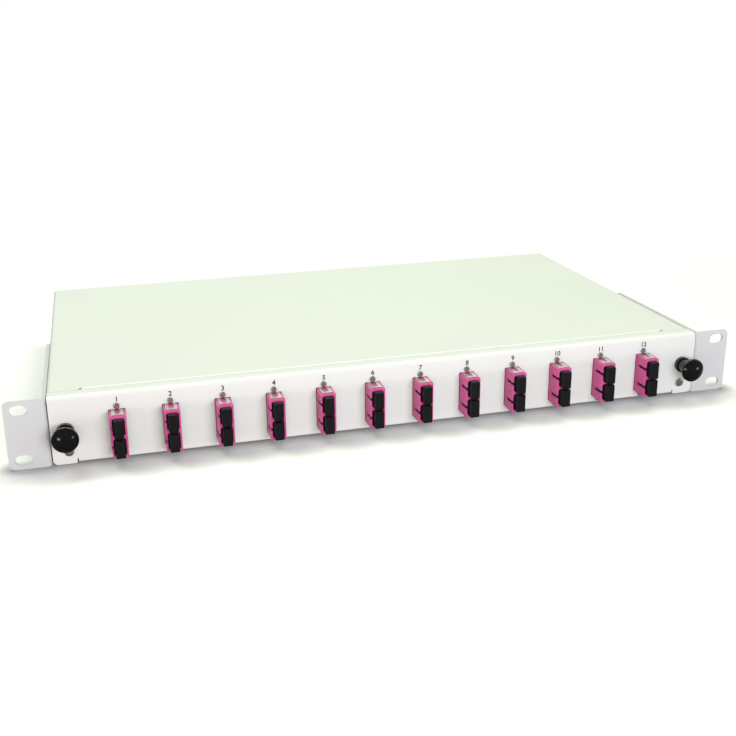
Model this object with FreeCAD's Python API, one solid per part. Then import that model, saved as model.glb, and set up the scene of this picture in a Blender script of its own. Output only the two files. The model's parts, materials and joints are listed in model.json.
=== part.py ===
import FreeCAD, Part
import math
import os
from FreeCAD import Vector

# A drawer type fibre splice box for 19-inch racks, one rack unit high, in millimetres.
# X is to the right, Y into the rack and Z up. The origin is the middle of the four rack slots,
# on the rear faces of the ears.

# Rack fixing
RACK_WIDTH = 482.6
SLOT_SPACING_X = 465.1
SLOT_SPACING_Z = 31.75
SLOT_LENGTH = 10.0
SLOT_HEIGHT = 6.5
EAR_SHEET = 2.0
EAR_DEPTH = 111.0
EAR_BEND = 3.0
EAR_CORNER = 3.5

# Casing
UNIT_HEIGHT = 43.6
CASING_WIDTH = 432.8
CASING_DEPTH = 251.0
SHEET = 1.2
BEND = 2.4
BASE_FLANGE = 14.0
COVER_LIP = 4.0
NOTCH_X = 196.3
NOTCH_WIDTH = 1.6
NOTCH_LENGTH = 3.0
BEAD_X = 120.0
BEAD_WIDTH = 10.0
BEAD_HEIGHT = 0.5

# Flat sides of round pieces, holes and hidden folds, fewer where they are small or repeated
SIDES_ROUND = 24
SIDES_WIDE = 16
SIDES_SMALL = 12
SIDES_REPEATED = 8
SIDES_HIDDEN = 6
FOLD_FLATS = 3

# Gaps between pieces
FIT_GAP = 0.1
PART_GAP = 0.3
SLIDE_GAP = 0.6

# Front panel
PANEL_EDGE_GAP = 0.5
PANEL_TOP_FLANGE = 10.5
PANEL_TOP_BEND = 3.75
PANEL_BOTTOM_FLANGE = 14.0
PANEL_BOTTOM_BEND = 1.5
PANEL_FOLD_HALF = 201.0
PANEL_FOLD_LIFT = 0.8
PANEL_RELIEF = 0.8
PANEL_CORNER = 3.0
COVER_SEAM = 0.5

# Drawer tray
TRAY_HALF = 198.0
TRAY_DEPTH = 205.0
TRAY_WALL_TOP = 34.2
TRAY_FRONT = 7.5
TRAY_REAR_LIP = 10.0
TAB_REACH = 15.0
FIX_TAB_LOW = 3.6
FIX_TAB_HIGH = 13.2
DRAWER_TRAVEL = 180.0
STOP_LOW = 25.8
STOP_HIGH = 31.5
STOP_WINDOW = 16.0

# Lugs of the casing behind the panel, where the latches plug in
LUG_LOW = 13.8
LUG_HIGH = 31.0
LUG_REACH = 16.5

# Latches
LATCH_X = 207.0
LATCH_Z = 21.7
BUSH_RADIUS = 4.0
BUSH_FLANGE_RADIUS = 5.5
BUSH_FLANGE = 3.0
BUSH_BEVEL = 0.6
BUSH_DEPTH = 8.0
PIN_RADIUS = 2.0
PIN_DEPTH = 6.0
KNOB_RADIUS = 8.0
KNOB_LENGTH = 18.0
KNOB_RIM = 12.4
KNOB_RIM_HEIGHT = 2.0
KNOB_RIM_STEP = 0.6
KNOB_NECK_RADIUS = 4.5
KNOB_WAIST_RADIUS = 4.0
KNOB_DOME_STEPS = 4

# Adapters
ADAPTER_COUNT = 12
ADAPTER_PITCH = 32.0
ADAPTER_Z = 19.35
ADAPTER_WIDTH = 9.6
ADAPTER_HEIGHT = 26.2
ADAPTER_FRONT = 12.8
ADAPTER_REAR = 13.4
FLANGE_HEIGHT = 34.1
FLANGE_DEPTH = 2.0
PORT_PITCH = 12.7
PORT_WIDTH = 7.6
PORT_HEIGHT = 10.6
PORT_WALL = 2.0
KEY_WIDTH = 2.2
KEY_LENGTH = 9.3
CUTOUT_GAP = 0.2
CLIP_WIDTH = 7.0
CLIP_LENGTH = 9.8
CLIP_SHEET = 0.4
CLIP_RIDGE = 2.0
CLIP_TIE = 2.4
CLIP_NOTCH = 2.6

# Dust caps
CAP_GRIP_WIDTH = 5.7
CAP_GRIP_HEIGHT = 11.4
CAP_GRIP_DEPTH = 4.3
CAP_BEVEL = 0.5
CAP_PLUG_DEPTH = 6.5
CAP_FIT = 0.2

# Screws: radius of shank, radius and height of head, length, share of the head that stays flat
M2_SHANK = 0.95
M2_HEAD = 1.9
M2_HEAD_HEIGHT = 1.4
M2_LENGTH = 5.0
M2_SPACING = 31.0
M3_SHANK = 1.45
M3_HEAD = 2.9
M3_HEAD_HEIGHT = 2.0
M3_LENGTH = 6.0
M3_X = 206.0
M3_Z = 8.5
M4_SHANK = 1.95
M4_HEAD = 3.9
M4_HEAD_HEIGHT = 2.6
M4_LENGTH = 6.0
SCREW_CROWN = 0.7
EAR_SCREW_PLACES = (30.0, 88.0)
COVER_SCREW_PLACES = (150.0, 232.0)
COVER_SCREW_Z = 7.0

# Cable entries in the rear wall
ENTRY_PLACES = (-150.0, -90.0, 90.0, 150.0)
ENTRY_Z = 20.0
ENTRY_RADIUS = 10.1
GLAND_THREAD = 9.9
GLAND_FLATS = 24.0
GLAND_COLLAR = 5.0
GLAND_STUB = 9.0
GLAND_NECK = 9.4
GLAND_NECK_LENGTH = 9.0
GLAND_BORE = 7.4
SEAL_RADIUS = 8.2
SEAL_BORE = 6.0
CAP_NUT_LENGTH = 17.0
CAP_NUT_CROWN = 5.0
CAP_NUT_STEP = 1.0
CAP_NUT_RIM = 1.5
CAP_NUT_OPENING = 6.6
LOCKNUT_HEIGHT = 4.5
PLUG_HEAD = 12.2
PLUG_HEAD_HEIGHT = 2.5
PLUG_BEVEL = 1.0

# Splice cassette
CASSETTE_WIDTH = 158.0
CASSETTE_DEPTH = 108.0
CASSETTE_HEIGHT = 9.5
CASSETTE_CORNER = 24.0
CASSETTE_CORNER_FLATS = 4
CASSETTE_WALL = 1.5
CASSETTE_Y = 118.0
CASSETTE_FOOT = 2.5
CORE_RADIUS = 21.0
CORE_X = 38.0
COMB_WIDTH = 26.0
COMB_DEPTH = 36.0
COMB_HEIGHT = 6.0
COMB_RIBS = 7
COMB_RIB = 1.2
LID_SHEET = 1.5
STUD_X = 66.0
STUD_RADIUS = 1.95
NUT_FLATS = 7.0
NUT_HEIGHT = 3.2

# Fibre clips on the tray
CLIP_PLACES = ((-150.0, 60.0), (-150.0, 160.0), (150.0, 60.0), (150.0, 160.0))
SADDLE_RADIUS = 7.0
SADDLE_WALL = 1.4
SADDLE_DEPTH = 8.0
SADDLE_MOUTH = 4.0

# Faces worked out from the dimensions above
FRONT = -EAR_SHEET
REAR = FRONT + CASING_DEPTH
REAR_INSIDE = REAR - SHEET
BOTTOM = -UNIT_HEIGHT / 2
TOP = UNIT_HEIGHT / 2
SIDE = CASING_WIDTH / 2
PANEL_BACK = FRONT + SHEET
PANEL_BOTTOM = BOTTOM + PANEL_FOLD_LIFT
PANEL_HALF = SIDE - PANEL_EDGE_GAP
COVER_FRONT = FRONT + PANEL_TOP_FLANGE + COVER_SEAM
LUG_FRONT = PANEL_BACK + SLIDE_GAP
TRAY_BOTTOM = PANEL_BOTTOM + SHEET
TRAY_FLOOR = TRAY_BOTTOM + SHEET
TRAY_REAR = FRONT + TRAY_DEPTH
BASE_FRONT = FRONT + PANEL_BOTTOM_FLANGE + COVER_SEAM
STOP_FRONT = LUG_FRONT + SHEET + DRAWER_TRAVEL + PART_GAP
FLANGE_BACK = PANEL_BACK + FLANGE_DEPTH
CASSETTE_BOTTOM = TRAY_FLOOR + CASSETTE_FOOT
CASSETTE_MIDDLE = FRONT + CASSETTE_Y
GLAND_END = REAR + GLAND_COLLAR + GLAND_NECK_LENGTH
CAP_NUT_START = REAR + GLAND_COLLAR + PART_GAP
X_AXIS = Vector(1, 0, 0)
Y_AXIS = Vector(0, 1, 0)
Z_AXIS = Vector(0, 0, 1)


def box(x0, x1, y0, y1, z0, z1):
    """Block between two corners."""
    return Part.makeBox(x1 - x0, y1 - y0, z1 - z0, Vector(x0, y0, z0))


def block(x, z, width, height, y0, y1):
    """Block along Y about a middle line."""
    return box(x - width / 2, x + width / 2, y0, y1, z - height / 2, z + height / 2)


def rod(radius, x, z, y0, y1):
    """Round bar along Y."""
    return Part.makeCylinder(radius, y1 - y0, Vector(x, y0, z), Y_AXIS)


def ring(radius, x, y, z, sides):
    """Corners of a regular outline about an axis along Y."""
    angles = [2 * math.pi * (step + 0.5) / sides for step in range(sides)]
    return [Vector(x + radius * math.cos(a), y, z + radius * math.sin(a)) for a in angles]


def bar(radius, x, z, y0, y1, sides):
    """Bar along Y with flat sides, its corners on the radius."""
    return polygon_prism(ring(radius, x, y0, z, sides), Y_AXIS * (y1 - y0))


def bore(radius, x, z, y0, y1, sides):
    """Tool for a hole along Y with flat sides that touch the radius."""
    return bar(radius / math.cos(math.pi / sides), x, z, y0, y1, sides)


def corner_arc(before, corner, after, radius):
    """Start, middle and end of the arc that rounds one corner of a path."""
    back = (before - corner).normalize()
    ahead = (after - corner).normalize()
    half = back.getAngle(ahead) / 2
    reach = radius / math.tan(half)
    middle = corner + (back + ahead).normalize() * (radius / math.sin(half) - radius)
    return corner + back * reach, middle, corner + ahead * reach


def straight(start, end):
    """Edge between two points, or none where they meet."""
    if (end - start).Length < 1e-6:
        return []
    return [Part.LineSegment(start, end).toShape()]


def bend_edges(start, middle, end, flats):
    """Arc through three points, or the flats that stand for it."""
    arc = Part.Arc(start, middle, end)
    if not flats:
        return [arc.toShape()]
    points = arc.toShape().discretize(flats + 1)
    return [Part.LineSegment(a, b).toShape() for a, b in zip(points, points[1:])]


def rounded_edges(points, radii, flats):
    """Edges of an open path whose inner corners are rounded."""
    edges = []
    last = points[0]
    for before, corner, after, radius in zip(points, points[1:], points[2:], radii):
        start, middle, end = corner_arc(before, corner, after, radius)
        edges += straight(last, start) + bend_edges(start, middle, end, flats)
        last = end
    return edges + straight(last, points[-1])


def folded_sheet(points, radii, thickness, travel, flats=0):
    """Sheet whose one face follows the path; its thickness grows to the left of the path, seen
    against the travel, along which the section is drawn out. Hidden folds may have flats."""
    across = Vector(travel).normalize()
    runs = [(b - a).normalize() for a, b in zip(points, points[1:])]
    sides = [across.cross(run) for run in runs]
    far = [points[0] + sides[0] * thickness]
    far_radii = []
    for index, radius in enumerate(radii):
        one = sides[index]
        two = sides[index + 1]
        far.append(points[index + 1] + (one + two) * (thickness / (1 + one.dot(two))))
        inward = runs[index].cross(runs[index + 1]).dot(across) > 0
        far_radii.append(radius - thickness if inward else radius + thickness)
    far.append(points[-1] + sides[-1] * thickness)
    edges = rounded_edges(points, radii, flats) + rounded_edges(far, far_radii, flats)
    edges.append(Part.LineSegment(points[0], far[0]).toShape())
    edges.append(Part.LineSegment(points[-1], far[-1]).toShape())
    outline = Part.Wire(Part.__sortEdges__(edges))
    return Part.Face(outline).extrude(travel)


def round_corners(shape, radius, axis, places):
    """Round the edges that run along the axis through the places."""
    picked = []
    for edge in shape.Edges:
        start = edge.Vertexes[0].Point
        end = edge.Vertexes[-1].Point
        if (end - start).Length < 1e-6:
            continue
        along = abs((end - start).normalize().dot(axis)) > 0.999
        if along and any(off_axis(start - place, axis) < 1e-4 for place in places):
            picked.append(edge)
    return shape.makeFillet(radius, picked)


def off_axis(offset, axis):
    """How far an offset leads away from an axis."""
    return (offset - axis * offset.dot(axis)).Length


def polygon_prism(points, travel):
    """Prism over a closed outline of straight sides."""
    return Part.Face(Part.makePolygon(list(points) + [points[0]])).extrude(travel)


def hexagon(flats, x, z, y0, y1):
    """Hexagonal bar along Y, with two flats upright."""
    return bore(flats / 2, x, z, y0, y1, 6)


def flat_face(corners):
    """Face over corners that lie in one plane, or none where too few of them differ."""
    before = corners[-1:] + corners[:-1]
    kept = [point for point, last in zip(corners, before) if (point - last).Length > 1e-6]
    if len(kept) < 3:
        return []
    return [Part.Face(Part.makePolygon(kept + kept[:1]))]


def turned(profile, x, z, sides):
    """Piece with flat sides about an axis along Y; the profile holds pairs of radius and Y."""
    rings = [ring(radius, x, y, z, sides) for radius, y in profile]
    faces = []
    for first, second in zip(rings, rings[1:] + rings[:1]):
        for step in range(sides):
            after = (step + 1) % sides
            faces += flat_face([first[step], first[after], second[after], second[step]])
    piece = Part.makeSolid(Part.makeShell(faces))
    if piece.Volume < 0:
        piece.reverse()
    return piece.removeSplitter()


def fused(pieces):
    """One solid of pieces that meet."""
    return pieces[0].multiFuse(pieces[1:]).removeSplitter()


def mirrored(shape):
    """The same piece for the other side."""
    return shape.mirror(Vector(0, 0, 0), X_AXIS)


def adapter_places():
    """Middle of each adapter, from left to right."""
    middle = (ADAPTER_COUNT - 1) / 2
    return [(index - middle) * ADAPTER_PITCH for index in range(ADAPTER_COUNT)]


def port_heights():
    """Heights of the upper and the lower port."""
    middle = BOTTOM + ADAPTER_Z
    return {"upper": middle + PORT_PITCH / 2, "lower": middle - PORT_PITCH / 2}


def screw_heights():
    """Heights of the two screws of an adapter."""
    middle = BOTTOM + ADAPTER_Z
    return (middle + M2_SPACING / 2, middle - M2_SPACING / 2)


def make_cover():
    """Top and both sides of the casing, folded from one sheet, with the latch lugs at its front."""
    front = LUG_FRONT + BEND
    path = [Vector(SIDE, front, BOTTOM), Vector(SIDE, front, TOP)]
    path += [Vector(-SIDE, front, TOP), Vector(-SIDE, front, BOTTOM)]
    shell = folded_sheet(path, (BEND, BEND), -SHEET, Y_AXIS * (REAR - front))
    under_panel = box(-SIDE, SIDE, front, COVER_FRONT, TOP - SHEET - PART_GAP, TOP)
    shell = shell.cut(under_panel)
    shell = add_cover_lip(shell)
    lug = cover_lug()
    shell = fused([shell, lug, mirrored(lug)])
    holes = [side_hole(y, 0.0) for y in EAR_SCREW_PLACES]
    holes += [side_hole(y, BOTTOM + COVER_SCREW_Z) for y in COVER_SCREW_PLACES]
    return shell.cut(Part.makeCompound(holes))


def add_cover_lip(shell):
    """Front edge of the top, bent down between the two relief notches."""
    inner = NOTCH_X - NOTCH_WIDTH / 2
    outer = NOTCH_X + NOTCH_WIDTH / 2
    back = COVER_FRONT + NOTCH_LENGTH
    shell = shell.cut(box(-outer, outer, COVER_FRONT, back, TOP - SHEET, TOP))
    path = [Vector(-inner, back, TOP), Vector(-inner, COVER_FRONT, TOP)]
    path.append(Vector(-inner, COVER_FRONT, TOP - COVER_LIP))
    lip = folded_sheet(path, (BEND,), SHEET, X_AXIS * (2 * inner))
    return shell.fuse(lip)


def cover_lug():
    """Lug folded in from the right side, with the hole that the latch plugs into."""
    low = BOTTOM + LUG_LOW
    path = [Vector(SIDE, LUG_FRONT + BEND, low), Vector(SIDE, LUG_FRONT, low)]
    path.append(Vector(SIDE - LUG_REACH, LUG_FRONT, low))
    lug = folded_sheet(path, (BEND,), -SHEET, Z_AXIS * (LUG_HIGH - LUG_LOW), FOLD_FLATS)
    radius = BUSH_RADIUS + PART_GAP
    y1 = LUG_FRONT + 2 * SHEET
    return lug.cut(bore(radius, LATCH_X, BOTTOM + LATCH_Z, LUG_FRONT - SHEET, y1, SIDES_SMALL))


def side_hole(y, z):
    """Tool for one screw hole through both sides."""
    tool = bore(M4_SHANK + FIT_GAP, FRONT + y, z, -RACK_WIDTH, RACK_WIDTH, SIDES_HIDDEN)
    tool.rotate(Vector(0, 0, 0), Z_AXIS, 90)
    return tool


def make_base():
    """Bottom with side flanges and rear wall, with beads that the drawer slides on."""
    side = SIDE - SHEET
    high = BOTTOM + BASE_FLANGE
    path = [Vector(-side, BASE_FRONT, high), Vector(-side, BASE_FRONT, BOTTOM)]
    path += [Vector(side, BASE_FRONT, BOTTOM), Vector(side, BASE_FRONT, high)]
    rear_line = REAR - BEND
    floor = folded_sheet(path, (BEND, BEND), -SHEET, Y_AXIS * (rear_line - BASE_FRONT), FOLD_FLATS)
    half = side - BEND - PART_GAP
    path = [Vector(-half, rear_line, BOTTOM), Vector(-half, REAR, BOTTOM)]
    path.append(Vector(-half, REAR, TOP - SHEET - PART_GAP))
    wall = folded_sheet(path, (BEND,), SHEET, X_AXIS * (2 * half))
    base = fused([floor, wall] + [bead(x, BOTTOM + SHEET) for x in (-BEAD_X, BEAD_X)])
    base = base.cut(Part.makeCompound([bead(x, BOTTOM) for x in (-BEAD_X, BEAD_X)]))
    z = BOTTOM + ENTRY_Z
    holes = [bore(ENTRY_RADIUS, x, z, REAR - 2 * SHEET, REAR + SHEET, SIDES_WIDE) for x in ENTRY_PLACES]
    holes += [side_hole(y, BOTTOM + COVER_SCREW_Z) for y in COVER_SCREW_PLACES]
    return base.cut(Part.makeCompound(holes))


def bead(x, z):
    """Pressed bead along the drawer's way, with sloping flanks."""
    wide = BEAD_WIDTH / 2
    narrow = wide - 2 * BEAD_HEIGHT
    y0 = BASE_FRONT + BEAD_WIDTH
    points = [Vector(x - wide, y0, z), Vector(x - narrow, y0, z + BEAD_HEIGHT)]
    points += [Vector(x + narrow, y0, z + BEAD_HEIGHT), Vector(x + wide, y0, z)]
    return polygon_prism(points, Y_AXIS * (TRAY_REAR - y0))


def make_ear():
    """Right rack ear: an angle with two slots, rounded at its free corners."""
    path = [Vector(RACK_WIDTH / 2, FRONT, BOTTOM), Vector(SIDE, FRONT, BOTTOM)]
    path.append(Vector(SIDE, FRONT + EAR_DEPTH, BOTTOM))
    ear = folded_sheet(path, (EAR_BEND,), -EAR_SHEET, Z_AXIS * UNIT_HEIGHT)
    corners = [Vector(RACK_WIDTH / 2, 0, z) for z in (BOTTOM, TOP)]
    ear = round_corners(ear, EAR_CORNER, Y_AXIS, corners)
    corners = [Vector(0, FRONT + EAR_DEPTH, z) for z in (BOTTOM, TOP)]
    ear = round_corners(ear, EAR_CORNER, X_AXIS, corners)
    cuts = [rack_slot(SLOT_SPACING_X / 2, sign * SLOT_SPACING_Z / 2) for sign in (-1, 1)]
    cuts += [side_hole(y, 0.0) for y in EAR_SCREW_PLACES]
    return ear.cut(Part.makeCompound(cuts))


def rack_slot(x, z):
    """Slot with round ends, for one rack screw."""
    radius = SLOT_HEIGHT / 2
    reach = SLOT_LENGTH / 2 - radius
    y0 = FRONT - EAR_SHEET
    y1 = FRONT + 2 * EAR_SHEET
    ends = [rod(radius, x + sign * reach, z, y0, y1) for sign in (-1, 1)]
    middle = box(x - reach, x + reach, y0, y1, z - radius, z + radius)
    return fused([middle] + ends)


def make_panel():
    """Front panel with its folded top and bottom edges, cut out for the adapters."""
    lowest = BOTTOM + PART_GAP
    path = [Vector(-PANEL_HALF, FRONT + PANEL_TOP_FLANGE, TOP), Vector(-PANEL_HALF, FRONT, TOP)]
    path.append(Vector(-PANEL_HALF, FRONT, lowest))
    upper = folded_sheet(path, (PANEL_TOP_BEND,), SHEET, X_AXIS * (2 * PANEL_HALF))
    relief = PANEL_FOLD_HALF + PANEL_RELIEF
    fold_line = PANEL_BOTTOM + PANEL_BOTTOM_BEND
    upper = upper.cut(box(-relief, relief, FRONT, PANEL_BACK, lowest, fold_line + PANEL_RELIEF))
    path = [Vector(-PANEL_FOLD_HALF, FRONT, fold_line + PANEL_RELIEF)]
    path.append(Vector(-PANEL_FOLD_HALF, FRONT, PANEL_BOTTOM))
    path.append(Vector(-PANEL_FOLD_HALF, FRONT + PANEL_BOTTOM_FLANGE, PANEL_BOTTOM))
    lower = folded_sheet(path, (PANEL_BOTTOM_BEND,), SHEET, X_AXIS * (2 * PANEL_FOLD_HALF))
    panel = fused([upper, lower])
    panel = round_corners(panel, PANEL_CORNER, Y_AXIS, [Vector(s * PANEL_HALF, 0, lowest) for s in (-1, 1)])
    return panel.cut(Part.makeCompound(panel_cuts()))


def panel_cuts():
    """Cut-outs and holes of the front panel."""
    y0 = FRONT - SHEET
    y1 = PANEL_BACK + SHEET
    width = ADAPTER_WIDTH + 2 * CUTOUT_GAP
    height = ADAPTER_HEIGHT + 2 * CUTOUT_GAP
    cuts = []
    for x in adapter_places():
        cuts.append(block(x, BOTTOM + ADAPTER_Z, width, height, y0, y1))
        cuts += [bore(M2_SHANK + FIT_GAP, x, z, y0, y1, SIDES_HIDDEN) for z in screw_heights()]
    for sign in (-1, 1):
        cuts.append(bore(BUSH_RADIUS + FIT_GAP, sign * LATCH_X, BOTTOM + LATCH_Z, y0, y1, SIDES_SMALL))
        cuts.append(bore(M3_SHANK + FIT_GAP, sign * M3_X, BOTTOM + M3_Z, y0, y1, SIDES_HIDDEN))
    return cuts


def make_tray():
    """Drawer tray: floor, walls with outward top flanges, rear lip, fixing tabs and stop tabs."""
    front = PANEL_BACK + BEND
    brim = SIDE - SHEET - SLIDE_GAP
    ledge = BOTTOM + TRAY_WALL_TOP - SHEET
    path = [Vector(-brim, front, ledge), Vector(-TRAY_HALF, front, ledge)]
    path += [Vector(-TRAY_HALF, front, TRAY_BOTTOM), Vector(TRAY_HALF, front, TRAY_BOTTOM)]
    path += [Vector(TRAY_HALF, front, ledge), Vector(brim, front, ledge)]
    inner = BEND - SHEET
    travel = Y_AXIS * (TRAY_REAR - front)
    tray = folded_sheet(path, (inner, BEND, BEND, inner), -SHEET, travel, FOLD_FLATS)
    floor_front = FRONT + TRAY_FRONT
    nose = TRAY_HALF - SHEET
    tray = tray.cut(box(-nose, nose, front, floor_front, TRAY_BOTTOM, TRAY_FLOOR + BEND))
    pieces = [tray, tray_rear_lip()]
    cuts = []
    for tab, cut in (fixing_tab(), stop_tab()):
        pieces += [tab, mirrored(tab)]
        cuts += [cut, mirrored(cut)]
    pieces += [cassette_stud(sign * STUD_X) for sign in (-1, 1)]
    return fused(pieces).cut(Part.makeCompound(cuts))


def tray_rear_lip():
    """Low lip at the rear of the floor."""
    half = TRAY_HALF - 2 * BEND
    path = [Vector(-half, TRAY_REAR - BEND, TRAY_BOTTOM), Vector(-half, TRAY_REAR, TRAY_BOTTOM)]
    path.append(Vector(-half, TRAY_REAR, TRAY_BOTTOM + TRAY_REAR_LIP))
    return folded_sheet(path, (BEND,), SHEET, X_AXIS * (2 * half), FOLD_FLATS)


def outward_tab(face, back, low, high):
    """Tab that turns out from the right wall, with its front face at one Y and its root at another."""
    path = [Vector(TRAY_HALF + TAB_REACH, face, low), Vector(TRAY_HALF - SHEET, face, low)]
    path.append(Vector(TRAY_HALF - SHEET, back, low))
    return folded_sheet(path, (BEND,), -SHEET, Z_AXIS * (high - low), FOLD_FLATS)


def fixing_tab():
    """Tab behind the panel's corner, and its screw hole."""
    tab = outward_tab(PANEL_BACK, PANEL_BACK + BEND, BOTTOM + FIX_TAB_LOW, BOTTOM + FIX_TAB_HIGH)
    y0 = PANEL_BACK - SHEET
    y1 = PANEL_BACK + 2 * SHEET
    return tab, bore(M3_SHANK + FIT_GAP, M3_X, BOTTOM + M3_Z, y0, y1, SIDES_HIDDEN)


def stop_tab():
    """Tab that meets the casing's lug when the drawer is out, and the window that it leaves."""
    low = BOTTOM + STOP_LOW
    high = BOTTOM + STOP_HIGH
    tab = outward_tab(STOP_FRONT, STOP_FRONT + BEND, low, high)
    start = STOP_FRONT - STOP_WINDOW
    window = box(TRAY_HALF - 2 * SHEET, TRAY_HALF + SHEET, start, STOP_FRONT, low, high)
    return tab, window


def cassette_stud(x):
    """Stud welded to the tray for the cassette."""
    height = CASSETTE_FOOT + CASSETTE_WALL + NUT_HEIGHT + SHEET
    return upright(STUD_RADIUS, x, TRAY_FLOOR, TRAY_FLOOR + height, SIDES_SMALL)


def pan_screw(shank, head, head_height, length, sides):
    """Pan head screw along Y, with the underside of its head at zero."""
    profile = [(0, -head_height), (head * SCREW_CROWN, -head_height), (head, 0)]
    profile += [(shank, 0), (shank, length), (0, length)]
    return turned(profile, 0, 0, sides)


def make_adapter_screws():
    """Two screws for each adapter, through the panel into the adapter's flange."""
    pattern = pan_screw(M2_SHANK, M2_HEAD, M2_HEAD_HEIGHT, M2_LENGTH, SIDES_REPEATED)
    places = [Vector(x, FRONT, z) for x in adapter_places() for z in screw_heights()]
    return Part.makeCompound([pattern.translated(place) for place in places])


def make_panel_screws():
    """One screw at each end of the panel, into the tray's fixing tab."""
    pattern = pan_screw(M3_SHANK, M3_HEAD, M3_HEAD_HEIGHT, M3_LENGTH, SIDES_SMALL)
    places = [Vector(sign * M3_X, FRONT, BOTTOM + M3_Z) for sign in (-1, 1)]
    return Part.makeCompound([pattern.translated(place) for place in places])


def make_casing_screws():
    """Screws of the ears and of the cover, in both sides."""
    pattern = pan_screw(M4_SHANK, M4_HEAD, M4_HEAD_HEIGHT, M4_LENGTH, SIDES_REPEATED)
    pattern.rotate(Vector(0, 0, 0), Z_AXIS, 90)
    right = [pattern.translated(Vector(SIDE + EAR_SHEET, FRONT + y, 0)) for y in EAR_SCREW_PLACES]
    low = BOTTOM + COVER_SCREW_Z
    right += [pattern.translated(Vector(SIDE, FRONT + y, low)) for y in COVER_SCREW_PLACES]
    return Part.makeCompound(right + [mirrored(screw) for screw in right])


def make_adapter(x):
    """Two-port adapter: body, flange behind the panel, two ports at each end and key slots."""
    middle = BOTTOM + ADAPTER_Z
    front = FRONT - ADAPTER_FRONT
    rear = PANEL_BACK + ADAPTER_REAR
    body = block(x, middle, ADAPTER_WIDTH, ADAPTER_HEIGHT, front, rear)
    flange = block(x, middle, ADAPTER_WIDTH, FLANGE_HEIGHT, PANEL_BACK, FLANGE_BACK)
    radius = M2_SHANK + FIT_GAP
    cuts = [bore(radius, x, z, PANEL_BACK, FLANGE_BACK, SIDES_HIDDEN) for z in screw_heights()]
    for z in port_heights().values():
        cuts.append(block(x, z, PORT_WIDTH, PORT_HEIGHT, front, PANEL_BACK))
        cuts.append(block(x, z, PORT_WIDTH, PORT_HEIGHT, PANEL_BACK + PORT_WALL, rear))
        cuts.append(block(x - ADAPTER_WIDTH / 2, z, PORT_WIDTH, KEY_WIDTH, front, front + KEY_LENGTH))
    return body.fuse(flange).cut(Part.makeCompound(cuts)).removeSplitter()


def adapter_clip(x, sign):
    """Sheet clip on the top or bottom face of an adapter, the upper one notched from behind."""
    face = BOTTOM + ADAPTER_Z + sign * ADAPTER_HEIGHT / 2
    middle = face + sign * CLIP_SHEET / 2
    y0 = FRONT - ADAPTER_FRONT + CLIP_RIDGE
    y1 = y0 + CLIP_LENGTH
    plate = block(x, middle, CLIP_WIDTH, CLIP_SHEET, y0, y1)
    if sign < 0:
        return plate
    return plate.cut(block(x, middle, CLIP_NOTCH, CLIP_SHEET, y0 + CLIP_TIE, y1))


def make_adapter_clips():
    """Clips of all adapters."""
    return Part.makeCompound([adapter_clip(x, sign) for x in adapter_places() for sign in (-1, 1)])


def dust_cap(x, z, face, way):
    """Cap of one port: a grip that leads away from the adapter and a plug in the port."""
    front = face + way * CAP_GRIP_DEPTH
    grip = block(x, z, CAP_GRIP_WIDTH, CAP_GRIP_HEIGHT, *sorted((face, front)))
    if way < 0:
        rim = [edge for edge in grip.Edges if all(abs(v.Point.y - front) < 1e-6 for v in edge.Vertexes)]
        grip = grip.makeChamfer(CAP_BEVEL, rim)
    width = PORT_WIDTH - 2 * CAP_FIT
    height = PORT_HEIGHT - 2 * CAP_FIT
    plug = block(x, z, width, height, *sorted((face, face - way * CAP_PLUG_DEPTH)))
    return grip.fuse(plug).removeSplitter()


def make_rear_caps():
    """Caps of all rear ports, seen from inside the drawer."""
    face = PANEL_BACK + ADAPTER_REAR + CAP_FIT
    places = [(x, z) for x in adapter_places() for z in port_heights().values()]
    return Part.makeCompound([dust_cap(x, z, face, 1) for x, z in places])


def make_bushes():
    """Bush of each latch: a collar on the panel and a barrel through panel and lug."""
    deep = FRONT + BUSH_DEPTH
    inside = PIN_RADIUS + 2 * FIT_GAP
    front = FRONT - BUSH_FLANGE
    profile = [(inside, front), (BUSH_FLANGE_RADIUS - BUSH_BEVEL, front)]
    profile += [(BUSH_FLANGE_RADIUS, front + BUSH_BEVEL), (BUSH_FLANGE_RADIUS, FRONT)]
    profile += [(BUSH_RADIUS, FRONT), (BUSH_RADIUS, deep), (inside, deep)]
    z = BOTTOM + LATCH_Z
    return Part.makeCompound([turned(profile, sign * LATCH_X, z, SIDES_SMALL) for sign in (-1, 1)])


def dome_profile(radius, tip, rim):
    """Profile of a shallow dome from its tip to its rim."""
    rise = rim - tip
    bend = (radius * radius + rise * rise) / (2 * rise)
    widest = math.asin(radius / bend)
    angles = [widest * step / KNOB_DOME_STEPS for step in range(KNOB_DOME_STEPS + 1)]
    return [(bend * math.sin(angle), tip + bend * (1 - math.cos(angle))) for angle in angles]


def make_knob(x):
    """Latch knob: pin, tapered neck, rim and domed head in one piece."""
    base = FRONT - BUSH_FLANGE - PART_GAP
    rim_back = FRONT - KNOB_RIM
    rim_front = rim_back - KNOB_RIM_HEIGHT
    profile = dome_profile(KNOB_RADIUS - KNOB_RIM_STEP, FRONT - KNOB_LENGTH, rim_front)
    profile += [(KNOB_RADIUS, rim_front + KNOB_RIM_STEP), (KNOB_RADIUS, rim_back)]
    profile += [(KNOB_WAIST_RADIUS, rim_back + KNOB_RIM_HEIGHT), (KNOB_NECK_RADIUS, base), (0, base)]
    z = BOTTOM + LATCH_Z
    head = turned(profile, x, z, SIDES_ROUND)
    return head.fuse(bar(PIN_RADIUS, x, z, base, FRONT + PIN_DEPTH, SIDES_SMALL)).removeSplitter()


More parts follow.
